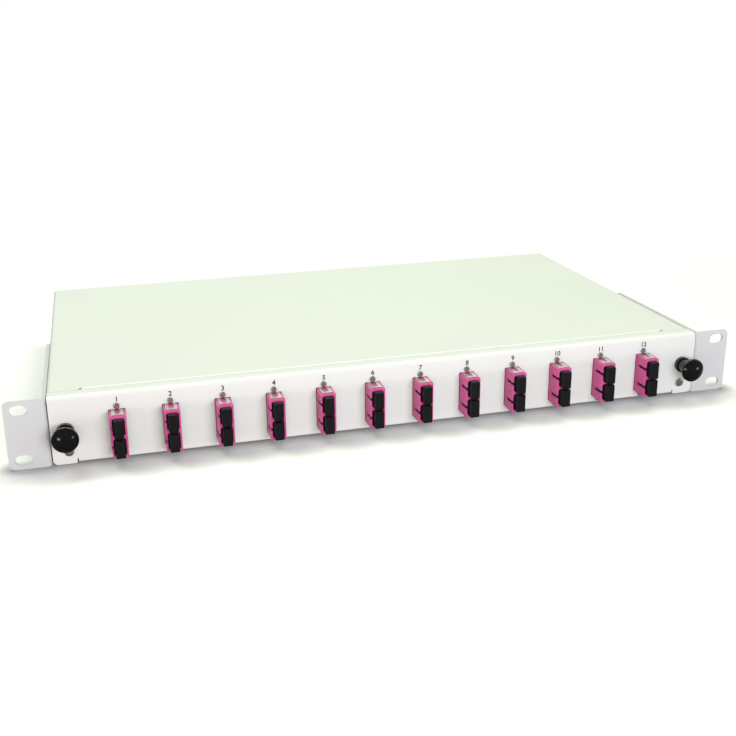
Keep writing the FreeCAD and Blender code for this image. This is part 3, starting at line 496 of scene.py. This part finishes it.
def applied(piece):
    """The piece with its modifiers turned into a plain mesh."""
    graph = bpy.context.evaluated_depsgraph_get()
    mesh = bpy.data.meshes.new_from_object(piece.evaluated_get(graph))
    piece.modifiers.clear()
    piece.data = mesh
    return piece


def set_material(piece, material):
    """One material on the whole piece."""
    piece.data.materials.clear()
    piece.data.materials.append(material)


def weigh_normals(piece):
    """Flat faces keep their own normals beside the small rounds at their edges."""
    weigh = piece.modifiers.new("normals", "WEIGHTED_NORMAL")
    weigh.mode = "FACE_AREA"
    weigh.keep_sharp = True
    applied(piece)


def finish_piece(piece, body, slot, *replaced, material=None):
    """Shading, material, body, slot and replaced nodes of a made piece."""
    smooth_by_angle(piece.data)
    weigh_normals(piece)
    set_material(piece, MATERIALS[material or slot])
    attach(piece, body)
    if replaced:
        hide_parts(*replaced)
    return piece


def round_ports(work):
    """Rounded corners inside the ports of an adapter: its long inner edges along Y."""
    picked = []
    for edge in work.edges:
        start, end = (vert.co for vert in edge.verts)
        along = end - start
        inner = len(edge.link_faces) == 2 and not edge.is_convex
        if inner and along.length > PORT_DEPTH and abs(along.normalized().y) > PORT_ALONG_Y:
            picked.append(edge)
    bmesh.ops.bevel(work, geom=picked, offset=PORT_CORNER, segments=PORT_CORNER_STEPS, profile=0.5,
                    affect="EDGES")


def welded_mesh(node, extra=None):
    """Copy of a CAD node's mesh with its loose triangles joined and flat faces made whole."""
    work = bmesh.new()
    work.from_mesh(nodes[node].data)
    bmesh.ops.remove_doubles(work, verts=work.verts, dist=WELD)
    bmesh.ops.dissolve_limit(work, angle_limit=FLAT_ANGLE, verts=work.verts, edges=work.edges)
    if extra:
        extra(work)
    return mesh_from(node + "_dressed", work)


def dress(node, width, extra=None, material=None):
    """Piece that stands for a CAD node with its edges rounded."""
    piece = new_object(node + "_dressed", welded_mesh(node, extra))
    bevel = piece.modifiers.new("edges", "BEVEL")
    bevel.width = width
    bevel.segments = 2
    bevel.limit_method = "ANGLE"
    bevel.angle_limit = BEVEL_ANGLE
    bevel.use_clamp_overlap = True
    return finish_piece(applied(piece), body_of_node[node], slot_of_node[node], node, material=material)


def lathe(name, profile, steps, closed=False):
    """Mesh turned about Y from pairs of radius and Y; a radius of 0 closes an end, and a closed
    profile makes a ring."""
    work = bmesh.new()
    rings = []
    turns = [2 * math.pi * step / steps for step in range(steps)]
    for radius, y in profile:
        if radius == 0:
            rings.append([work.verts.new((0, y, 0))])
        else:
            rings.append([work.verts.new((radius * math.cos(a), y, radius * math.sin(a))) for a in turns])
    for first, second in zip(rings, rings[1:] + rings[:1] if closed else rings[1:]):
        for step in range(steps):
            after = (step + 1) % steps
            corners = [first[step % len(first)], first[after % len(first)]]
            corners += [second[after % len(second)], second[step % len(second)]]
            work.faces.new(list(dict.fromkeys(corners)))
    return mesh_from(name, work)


def arc_points(centre, radius, start, end, steps):
    """Points on an arc, as pairs, from one angle to another in degrees."""
    angles = [math.radians(start + (end - start) * step / steps) for step in range(steps + 1)]
    return [(centre[0] + radius * math.cos(a), centre[1] + radius * math.sin(a)) for a in angles]


def rounded_outline(width, height, radius, y):
    """Corners of a rounded rectangle across Y."""
    points = []
    for quarter, (sx, sz) in enumerate(((1, 1), (-1, 1), (-1, -1), (1, -1))):
        centre = (sx * (width / 2 - radius), sz * (height / 2 - radius))
        arc = arc_points(centre, radius, 90 * quarter, 90 * quarter + 90, CORNER_STEPS)
        points += [(x, y, z) for x, z in arc]
    return points


def lofted(name, sections):
    """Closed mesh through outlines that have the same number of corners."""
    work = bmesh.new()
    rings = [[work.verts.new(point) for point in section] for section in sections]
    for first, second in zip(rings, rings[1:]):
        for step in range(len(first)):
            after = (step + 1) % len(first)
            work.faces.new((first[step], first[after], second[after], second[step]))
    work.faces.new(rings[0])
    work.faces.new(rings[-1])
    return mesh_from(name, work)


def middle_of(node):
    """Middle of a node's box."""
    low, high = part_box(node)
    return (Vector(low) + Vector(high)) / 2


def moved(mesh, offset):
    """Copy of a mesh, moved."""
    copy = mesh.copy()
    copy.transform(Matrix.Translation(offset))
    return copy


# Repeated pieces

def repeat_tree():
    """Geometry tree: a pattern at each point of a mesh, facing as the point says and turned about
    its own axis by a seeded angle."""
    tree = bpy.data.node_groups.new("pieces at places", "GeometryNodeTree")
    face = tree.interface
    face.new_socket(name="Geometry", in_out="INPUT", socket_type="NodeSocketGeometry")
    face.new_socket(name="Pattern", in_out="INPUT", socket_type="NodeSocketObject")
    face.new_socket(name="Largest turn", in_out="INPUT", socket_type="NodeSocketFloat")
    face.new_socket(name="Seed", in_out="INPUT", socket_type="NodeSocketInt")
    face.new_socket(name="Finish", in_out="INPUT", socket_type="NodeSocketMaterial")
    face.new_socket(name="Geometry", in_out="OUTPUT", socket_type="NodeSocketGeometry")
    start = tree.nodes.new("NodeGroupInput")
    end = tree.nodes.new("NodeGroupOutput")
    pattern = tree.nodes.new("GeometryNodeObjectInfo")
    facing = tree.nodes.new("GeometryNodeInputNamedAttribute")
    facing.data_type = "FLOAT_VECTOR"
    facing.inputs["Name"].default_value = "facing"
    turn = tree.nodes.new("FunctionNodeRandomValue")
    turn.data_type = "FLOAT"
    axis = tree.nodes.new("ShaderNodeCombineXYZ")
    points = tree.nodes.new("GeometryNodeMeshToPoints")
    instances = tree.nodes.new("GeometryNodeInstanceOnPoints")
    spin = tree.nodes.new("GeometryNodeRotateInstances")
    real = tree.nodes.new("GeometryNodeRealizeInstances")
    paint = tree.nodes.new("GeometryNodeSetMaterial")
    link = tree.links.new
    link(start.outputs["Geometry"], points.inputs["Mesh"])
    link(start.outputs["Pattern"], pattern.inputs["Object"])
    link(start.outputs["Largest turn"], turn.inputs[3])
    link(start.outputs["Seed"], turn.inputs["Seed"])
    link(turn.outputs[1], axis.inputs["Y"])
    link(points.outputs["Points"], instances.inputs["Points"])
    link(pattern.outputs["Geometry"], instances.inputs["Instance"])
    link(facing.outputs["Attribute"], instances.inputs["Rotation"])
    link(instances.outputs["Instances"], spin.inputs["Instances"])
    link(axis.outputs["Vector"], spin.inputs["Rotation"])
    link(spin.outputs["Instances"], real.inputs["Geometry"])
    link(real.outputs["Geometry"], paint.inputs["Geometry"])
    link(start.outputs["Finish"], paint.inputs["Material"])
    link(paint.outputs["Geometry"], end.inputs["Geometry"])
    return tree


REPEAT = repeat_tree()


def repeated(name, pattern_mesh, places, slot, largest_turn=0.0, seed=TURN_SEED, headings=None):
    """One plain mesh of a pattern at several places, each with its heading about Z in degrees."""
    pattern = new_object(name + "_pattern", pattern_mesh)
    mesh = bpy.data.meshes.new(name + "_places")
    mesh.from_pydata([tuple(place) for place in places], [], [])
    facing = mesh.attributes.new("facing", "FLOAT_VECTOR", "POINT")
    for row, heading in zip(facing.data, headings or [0.0] * len(places)):
        row.vector = (0, 0, math.radians(heading))
    piece = new_object(name, mesh)
    tree = piece.modifiers.new("places", "NODES")
    tree.node_group = REPEAT
    sockets = {item.name: item.identifier for item in REPEAT.interface.items_tree if item.in_out == "INPUT"}
    tree[sockets["Pattern"]] = pattern
    tree[sockets["Largest turn"]] = largest_turn
    tree[sockets["Seed"]] = seed
    tree[sockets["Finish"]] = MATERIALS[slot]
    applied(piece)
    bpy.data.objects.remove(pattern)
    return piece


def pan_head(name, screw):
    """Pan head with a cross recess, its underside at zero and the shank along +Y."""
    radius, height, reach, width, depth, length, steps = screw
    shank = radius / 2
    bend = height * HEAD_CROWN
    arc = arc_points((0, 0), bend, 270, 360, HEAD_STEPS)
    crown = [(0, -height)] + [(radius - bend + x, y - height + bend) for x, y in arc]
    profile = crown + [(radius, 0), (shank, 0), (shank, length), (0, length)]
    piece = new_object(name, lathe(name, profile, steps))
    cutter = new_object(name + "_recess", cross_mesh(name + "_recess", height, reach, width, depth))
    cut = piece.modifiers.new("recess", "BOOLEAN")
    cut.operation = "DIFFERENCE"
    cut.solver = "EXACT"
    cut.object = cutter
    mesh = applied(piece).data
    bpy.data.objects.remove(piece)
    bpy.data.objects.remove(cutter)
    return mesh


def cross_mesh(name, height, reach, width, depth):
    """Tapered cross that cuts the recess of a screw head."""
    work = bmesh.new()
    top = -height - RECESS_RISE
    bottom = -height + depth
    for long_x in (True, False):
        rings = []
        for y, share in ((top, 1.0), (bottom, RECESS_TAPER)):
            half = (reach * share, width * share / 2)
            x, z = half if long_x else half[::-1]
            rings.append([work.verts.new((sx * x, y, sz * z)) for sx, sz in CORNER_SIGNS])
        upper, lower = rings
        work.faces.new(upper)
        work.faces.new(lower[::-1])
        for step in range(4):
            after = (step + 1) % 4
            work.faces.new((upper[step], lower[step], lower[after], upper[after]))
    return mesh_from(name, work)


# Places read from the frame

PANEL_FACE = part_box("front_panel")[0][1]
REAR_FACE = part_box("casing_base")[1][1]
ADAPTERS = sorted(node for node in nodes if node.startswith("adapter_") and node[-2:].isdigit())
PORTS = [middle_of(node) + Vector((0, 0, side * PORT_PITCH / 2)) for node in ADAPTERS for side in (1, -1)]


def dress_sheets():
    """Casing, ears, panel and tray with rounded sheet edges."""
    for node in ("casing_cover", "casing_base", "front_panel", "drawer_tray"):
        dress(node, SHEET_EDGE)
    for node in ("ear_left", "ear_right"):
        # The ears get the darker copy of the coat, as painted shade
        dress(node, SHEET_EDGE, material="ear_coat_painted_shade")


def dress_adapters():
    """Adapters with moulded edges and rounded ports, their clips and their inner sleeves."""
    for node in ADAPTERS:
        dress(node, MOULDED_EDGE, round_ports)
    dress("adapter_clips", STAMPED_EDGE)
    profile = [(SLEEVE_BORE, 0), (SLEEVE_RADIUS, 0)]
    profile += [(SLEEVE_RADIUS, SLEEVE_LENGTH), (SLEEVE_BORE, SLEEVE_LENGTH)]
    places = [(port.x, y, port.z) for port in PORTS for y in (FRONT_SLEEVE, REAR_SLEEVE)]
    pattern = lathe("sleeve", profile, SLEEVE_STEPS, closed=True)
    piece = repeated("alignment_sleeves", pattern, places, "sleeve")
    finish_piece(piece, "drawer", "sleeve")


def cap_mesh():
    """Dust cap with its grip towards -Y: soft rim, waist that enters the port and plug."""
    rows = []
    for x, y in arc_points((0, 0), GRIP_RIM, 90, 0, CORNER_STEPS):
        trim = GRIP_RIM - x
        size = (GRIP_WIDTH - 2 * trim, GRIP_HEIGHT - 2 * trim, GRIP_CORNER - trim)
        rows.append((*size, GRIP_RIM - GRIP_DEPTH - y))
    rows.append((GRIP_WIDTH, GRIP_HEIGHT, GRIP_CORNER, 0))
    rows.append((GRIP_WIDTH, WAIST_HEIGHT, GRIP_CORNER, 0))
    rows.append((GRIP_WIDTH, WAIST_HEIGHT, GRIP_CORNER, WAIST_DEPTH))
    rows.append((PLUG_WIDTH, WAIST_HEIGHT, PLUG_CORNER, WAIST_DEPTH))
    rows.append((PLUG_WIDTH, WAIST_HEIGHT, PLUG_CORNER, PLUG_END - GRIP_RIM))
    end = (PLUG_WIDTH - 2 * GRIP_RIM, WAIST_HEIGHT - 2 * GRIP_RIM, PLUG_CORNER - GRIP_RIM)
    rows.append((*end, PLUG_END))
    return lofted("dust_cap", [rounded_outline(*row) for row in rows])


def dress_caps():
    """Dust caps of all ports from one pattern."""
    pattern = cap_mesh()
    for node in sorted(nodes):
        if node.startswith("dust_cap_"):
            centre = middle_of(node)
            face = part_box(node)[0][1] + GRIP_DEPTH
            piece = new_object(node + "_dressed", moved(pattern, (centre.x, face, centre.z)))
            finish_piece(piece, body_of_node[node], "cap_black", node)
    places = [(port.x, REAR_CAP_FACE, port.z) for port in PORTS]
    turned = [180.0] * len(places)
    piece = repeated("rear_dust_caps_dressed", pattern, places, "cap_black", headings=turned)
    finish_piece(piece, "drawer", "cap_black", "rear_dust_caps")


def saddle_mesh():
    """Open ring with its mouth at the top and a foot below."""
    mouth = (90 + SADDLE_MOUTH, 450 - SADDLE_MOUTH)
    outline = arc_points((0, 0), SADDLE_RADIUS, *mouth, SADDLE_STEPS)
    outline += arc_points((0, 0), SADDLE_INSIDE, *mouth[::-1], SADDLE_STEPS)
    foot = [(-SADDLE_FOOT, -SADDLE_RADIUS), (SADDLE_FOOT, -SADDLE_RADIUS)]
    foot += [(SADDLE_FOOT, -SADDLE_INSIDE), (-SADDLE_FOOT, -SADDLE_INSIDE)]
    work = bmesh.new()
    for points in (outline, foot):
        ends = (-SADDLE_DEPTH / 2, SADDLE_DEPTH / 2)
        front, back = [[work.verts.new((x, y, z)) for x, z in points] for y in ends]
        for step in range(len(points)):
            after = (step + 1) % len(points)
            work.faces.new((front[step], front[after], back[after], back[step]))
        work.faces.new(front)
        work.faces.new(back)
    return mesh_from("saddle", work)


def dress_inside():
    """Cassette, lid, nuts and saddles."""
    for node in ("splice_cassette", "cassette_lid", "cassette_nuts"):
        dress(node, MOULDED_EDGE)
    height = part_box("fibre_clips")[0][2] + SADDLE_RADIUS
    places = [(side * SADDLE_X, y, height) for side in (-1, 1) for y in SADDLE_ROWS]
    piece = repeated("fibre_clips_dressed", saddle_mesh(), places, "clip_white")
    finish_piece(piece, "drawer", "clip_white", "fibre_clips")


def dress_rear():
    """Gland with its sealing ring, and the plugs of the spare entries."""
    for node in ("gland_body", "gland_cap_nut", "gland_locknut"):
        dress(node, MOULDED_EDGE)
    low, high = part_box("gland_seal")
    profile = [(SEAL_BORE, low[1]), (SEAL_RADIUS, low[1]), (SEAL_RADIUS, high[1])]
    profile += [(SEAL_BORE + SEAL_CHAMFER, high[1]), (SEAL_BORE, high[1] - SEAL_CHAMFER)]
    centre = middle_of("gland_seal")
    ring = moved(lathe("seal", profile, SEAL_STEPS, closed=True), (centre.x, 0, centre.z))
    piece = new_object("gland_seal_dressed", ring)
    finish_piece(piece, body_of_node["gland_seal"], "seal_rubber", "gland_seal")
    low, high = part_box("blanking_plugs")
    end = low[1] - REAR_FACE
    rim = BLANK_FLANGE - BLANK_ROUND
    profile = [(0, BLANK_DISH_FACE), (BLANK_DISH, BLANK_DISH_FACE)]
    profile += [(BLANK_DISH_RIM, BLANK_FACE), (rim, BLANK_FACE)]
    profile += arc_points((rim, BLANK_FACE - BLANK_ROUND), BLANK_ROUND, BLANK_ROUND_START, 0, CORNER_STEPS)
    profile += [(BLANK_FLANGE, 0), (BLANK_NECK, 0), (BLANK_NECK, end), (0, end)]
    places = [(x, REAR_FACE, (low[2] + high[2]) / 2) for x in BLANK_PLACES]
    pattern = lathe("blanking_plug", profile, BLANK_STEPS)
    piece = repeated("blanking_plugs_dressed", pattern, places, "gland_grey")
    finish_piece(piece, "casing", "gland_grey", "blanking_plugs")


def make_screws():
    """Screws of the adapters, the panel and the casing, with cross recesses."""
    heights = [middle_of(ADAPTERS[0]).z + side * M2_SPACING / 2 for side in (1, -1)]
    places = [(middle_of(node).x, PANEL_FACE, z) for node in ADAPTERS for z in heights]
    pattern = pan_head("m2", M2_SCREW)
    piece = repeated("adapter_screws_dressed", pattern, places, "screw_steel", math.pi)
    finish_piece(piece, "drawer", "screw_steel", "adapter_screws")
    height = middle_of("panel_screws").z
    places = [(side * M3_X, PANEL_FACE, height) for side in (-1, 1)]
    pattern = pan_head("m3", M3_SCREW)
    piece = repeated("panel_screws_dressed", pattern, places, "screw_steel", math.pi, TURN_SEED + 1)
    finish_piece(piece, "drawer", "screw_steel", "panel_screws")
    places = [(side * EAR_FACE, y, z) for side in (1, -1) for y, z in EAR_SCREWS]
    places += [(side * SIDE_FACE, y, z) for side in (1, -1) for y, z in COVER_SCREWS]
    headings = [90.0 if x > 0 else -90.0 for x, y, z in places]
    pattern = pan_head("m4", M4_SCREW)
    piece = repeated("casing_screws_dressed", pattern, places, "screw_steel", math.pi, TURN_SEED + 2,
                     headings)
    finish_piece(piece, "casing", "screw_steel", "casing_screws")


def knob_profile(tip, end):
    """Profile of a latch knob from the tip of its dome to the end of its pin."""
    rim_front = PANEL_FACE + KNOB_RIM_FRONT
    rim_back = PANEL_FACE + KNOB_RIM_BACK
    base = PANEL_FACE + KNOB_BASE
    dome = KNOB_RADIUS - KNOB_STEP
    rise = rim_front - tip
    bend = (dome * dome + rise * rise) / (2 * rise)
    half = math.degrees(math.asin(dome / bend))
    profile = [(0, tip)] + arc_points((0, tip + bend), bend, 270, 270 + half, KNOB_DOME_STEPS)[1:]
    profile += arc_points((dome, rim_front + KNOB_STEP), KNOB_STEP, 270, 360, KNOB_RIM_STEPS)
    profile += [(KNOB_RADIUS, rim_back - KNOB_STEP / 2), (KNOB_RADIUS - KNOB_STEP / 2, rim_back)]
    profile += [(KNOB_WAIST + KNOB_STEP / 2, rim_back + 2 * KNOB_STEP)]
    profile += [(KNOB_WAIST, rim_back + 3 * KNOB_STEP), (KNOB_NECK, base)]
    return profile + [(PIN_RADIUS, base), (PIN_RADIUS, end), (0, end)]


def make_latches():
    """Latch knobs and bushes turned smooth."""
    for node in ("latch_knob_left", "latch_knob_right"):
        low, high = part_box(node)
        centre = middle_of(node)
        mesh = moved(lathe(node, knob_profile(low[1], high[1]), KNOB_STEPS), (centre.x, 0, centre.z))
        finish_piece(new_object(node + "_dressed", mesh), body_of_node[node], "latch_black", node)
    rim = BUSH_FLANGE - BUSH_ROUND
    profile = [(BUSH_BORE, BUSH_FRONT), (rim, BUSH_FRONT)]
    profile += arc_points((rim, BUSH_FRONT + BUSH_ROUND), BUSH_ROUND, BUSH_ROUND_START, 360, BUSH_ROUND_STEPS)
    profile += [(BUSH_FLANGE, 0), (BUSH_RADIUS, 0), (BUSH_RADIUS, BUSH_END), (BUSH_BORE, BUSH_END)]
    height = middle_of("latch_knob_left").z
    places = [(side * LATCH_X, PANEL_FACE, height) for side in (-1, 1)]
    pattern = lathe("bush", profile, BUSH_STEPS, closed=True)
    piece = repeated("latch_bushes_dressed", pattern, places, "latch_black")
    finish_piece(piece, "drawer", "latch_black", "latch_bushes")


def make_numbers():
    """Plain port numbers printed over the adapters."""
    height = middle_of(ADAPTERS[0]).z + M2_SPACING / 2 + NUMBER_ABOVE_SCREW - NUMBER_HEIGHT / 2
    upright = Euler((math.radians(90), 0, 0)).to_matrix().to_4x4()
    work = bmesh.new()
    for number, node in enumerate(ADAPTERS, start=1):
        curve = bpy.data.curves.new(f"number_{number}", "FONT")
        curve.body = str(number)
        curve.align_x = "CENTER"
        curve.size = NUMBER_HEIGHT / FONT_CAP_SHARE
        curve.offset = NUMBER_BOLD * curve.size
        curve.extrude = NUMBER_THICKNESS / 2
        source = new_object(f"number_{number}", curve)
        graph = bpy.context.evaluated_depsgraph_get()
        mesh = bpy.data.meshes.new_from_object(source.evaluated_get(graph))
        bpy.data.objects.remove(source)
        place = (middle_of(node).x + NUMBER_ASIDE, PANEL_FACE - NUMBER_THICKNESS / 2, height)
        mesh.transform(Matrix.Translation(place) @ upright)
        work.from_mesh(mesh)
    finish_piece(new_object("port_numbers", mesh_from("port_numbers", work)), "drawer", "ink")


# Stage

def make_floor():
    """Pale floor that keeps the object's shadow, with a painted contact shade along the object's front edge;
    it fades to the white background and is darker in gloss."""
    mesh = bpy.data.meshes.new("floor")
    bottom = cad_box[0][2]
    corners = [(sx * FLOOR_REACH, sy * FLOOR_REACH, bottom) for sx, sy in CORNER_SIGNS]
    mesh.from_pydata(corners, [], [(0, 1, 2, 3)])
    floor = new_object("floor", mesh)
    material = bpy.data.materials.new("pale floor")
    material.use_nodes = True
    tree = material.node_tree
    tree.nodes.clear()
    path = tree.nodes.new("ShaderNodeLightPath")
    out = tree.nodes.new("ShaderNodeOutputMaterial")
    matt = tree.nodes.new("ShaderNodeBsdfDiffuse")
    # painted contact shade: the floor's colour turns darker towards the object's front edge
    near = mixed_colour(tree, contact_share(tree), linear(FLOOR_COLOUR), linear(PAINTED_CONTACT_SHADE_TONE))
    lit = mixed_colour(tree, path.outputs["Is Diffuse Ray"], near, linear(FLOOR_BOUNCE))
    colour = mixed_colour(tree, path.outputs["Is Glossy Ray"], lit, linear(FLOOR_IN_GLOSS))
    tree.links.new(colour, matt.inputs["Color"])
    glow = tree.nodes.new("ShaderNodeEmission")
    glow.inputs["Strength"].default_value = BACKGROUND_LEVEL
    mix = tree.nodes.new("ShaderNodeMixShader")
    seen = math_node(tree, "MAXIMUM", path.outputs["Is Camera Ray"], path.outputs["Is Transmission Ray"])
    tree.links.new(math_node(tree, "MULTIPLY", far_away(tree), seen), mix.inputs["Fac"])
    tree.links.new(matt.outputs["BSDF"], mix.inputs[1])
    tree.links.new(glow.outputs["Emission"], mix.inputs[2])
    tree.links.new(mix.outputs["Shader"], out.inputs["Surface"])
    set_material(floor, material)


def contact_share(tree):
    """Share of the painted contact shade on the floor: 1 along the front edge of the object, falling to 0 at
    its reach.
    """
    parts = tree.nodes.new("ShaderNodeSeparateXYZ")
    tree.links.new(tree.nodes.new("ShaderNodeTexCoord").outputs["Object"], parts.inputs["Vector"])
    aside = math_node(tree, "SUBTRACT", math_node(tree, "ABSOLUTE", parts.outputs["X"]), PAINTED_CONTACT_SHADE_HALF)
    aside = math_node(tree, "MAXIMUM", aside, 0.0)
    square = math_node(tree, "MULTIPLY", aside, aside)
    whole = math_node(tree, "MULTIPLY_ADD", parts.outputs["Y"], parts.outputs["Y"], square)
    fade = tree.nodes.new("ShaderNodeMapRange")
    fade.interpolation_type = "SMOOTHSTEP"
    fade.inputs["From Min"].default_value = PAINTED_CONTACT_SHADE_REACH
    fade.inputs["From Max"].default_value = 0.0
    tree.links.new(math_node(tree, "SQRT", whole), fade.inputs["Value"])
    return fade.outputs["Result"]


def far_away(tree):
    """From 0 near the object to 1 away from it."""
    place = tree.nodes.new("ShaderNodeTexCoord").outputs["Object"]
    length = tree.nodes.new("ShaderNodeVectorMath")
    length.operation = "LENGTH"
    tree.links.new(place, length.inputs[0])
    fade = tree.nodes.new("ShaderNodeMapRange")
    fade.interpolation_type = "SMOOTHSTEP"
    fade.inputs["From Min"].default_value = FLOOR_CLEAR
    fade.inputs["From Max"].default_value = FLOOR_CLEAR + FLOOR_FADE
    tree.links.new(length.outputs["Value"], fade.inputs["Value"])
    return fade.outputs["Result"]


def make_world():
    """White background to the eye, soft light on the object and less of it in gloss."""
    world = bpy.data.worlds.new("studio")
    bpy.context.scene.world = world
    world.use_nodes = True
    tree = world.node_tree
    tree.nodes.clear()
    out = tree.nodes.new("ShaderNodeOutputWorld")
    path = tree.nodes.new("ShaderNodeLightPath")
    sky = tree.nodes.new("ShaderNodeBackground")
    sky.inputs["Color"].default_value = SKY_COLOUR
    glossy = path.outputs["Is Glossy Ray"]
    level = math_node(tree, "MULTIPLY_ADD", glossy, GLOSS_LEVEL - SKY_LEVEL, SKY_LEVEL)
    tree.links.new(level, sky.inputs["Strength"])
    seen_sky = tree.nodes.new("ShaderNodeBackground")
    seen_sky.inputs["Color"].default_value = (1, 1, 1, 1)
    seen_sky.inputs["Strength"].default_value = BACKGROUND_LEVEL
    seen = math_node(tree, "MAXIMUM", path.outputs["Is Camera Ray"], path.outputs["Is Transmission Ray"])
    mix = tree.nodes.new("ShaderNodeMixShader")
    tree.links.new(seen, mix.inputs["Fac"])
    tree.links.new(sky.outputs["Background"], mix.inputs[1])
    tree.links.new(seen_sky.outputs["Background"], mix.inputs[2])
    tree.links.new(mix.outputs["Shader"], out.inputs["Surface"])


def make_lamp(name, place, target, size, power, colour, in_gloss):
    """Soft area lamp that points at a target; gloss may show it or not."""
    lamp = bpy.data.lights.new(name, "AREA")
    lamp.shape = "RECTANGLE"
    lamp.size = size[0]
    lamp.size_y = size[1]
    lamp.energy = power
    lamp.color = colour
    holder = bpy.data.objects.new(name, lamp)
    bpy.context.scene.collection.objects.link(holder)
    holder.location = place
    way = Vector(target) - Vector(place)
    holder.rotation_euler = way.to_track_quat("-Z", "Y").to_euler()
    holder.visible_glossy = in_gloss


def make_camera():
    """Camera at the photo's viewing angle."""
    camera = bpy.data.cameras.new("camera")
    camera.lens = CAMERA_LENS
    camera.sensor_width = CAMERA_SENSOR
    camera.shift_x, camera.shift_y = CAMERA_SHIFT
    camera.clip_end = CAMERA_REACH
    holder = bpy.data.objects.new("camera", camera)
    bpy.context.scene.collection.objects.link(holder)
    holder.location = CAMERA_PLACE
    holder.rotation_euler = [math.radians(angle) for angle in CAMERA_TURN]
    bpy.context.scene.camera = holder


def set_stage():
    """Camera, lamps, floor and world."""
    make_camera()
    make_world()
    make_floor()
    for name, lamp in LAMPS.items():
        make_lamp(name, *lamp)
    bpy.context.scene.view_settings.view_transform = "Standard"


dress_sheets()
dress_adapters()
dress_caps()
dress_inside()
dress_rear()
make_screws()
make_latches()
make_numbers()
set_stage()
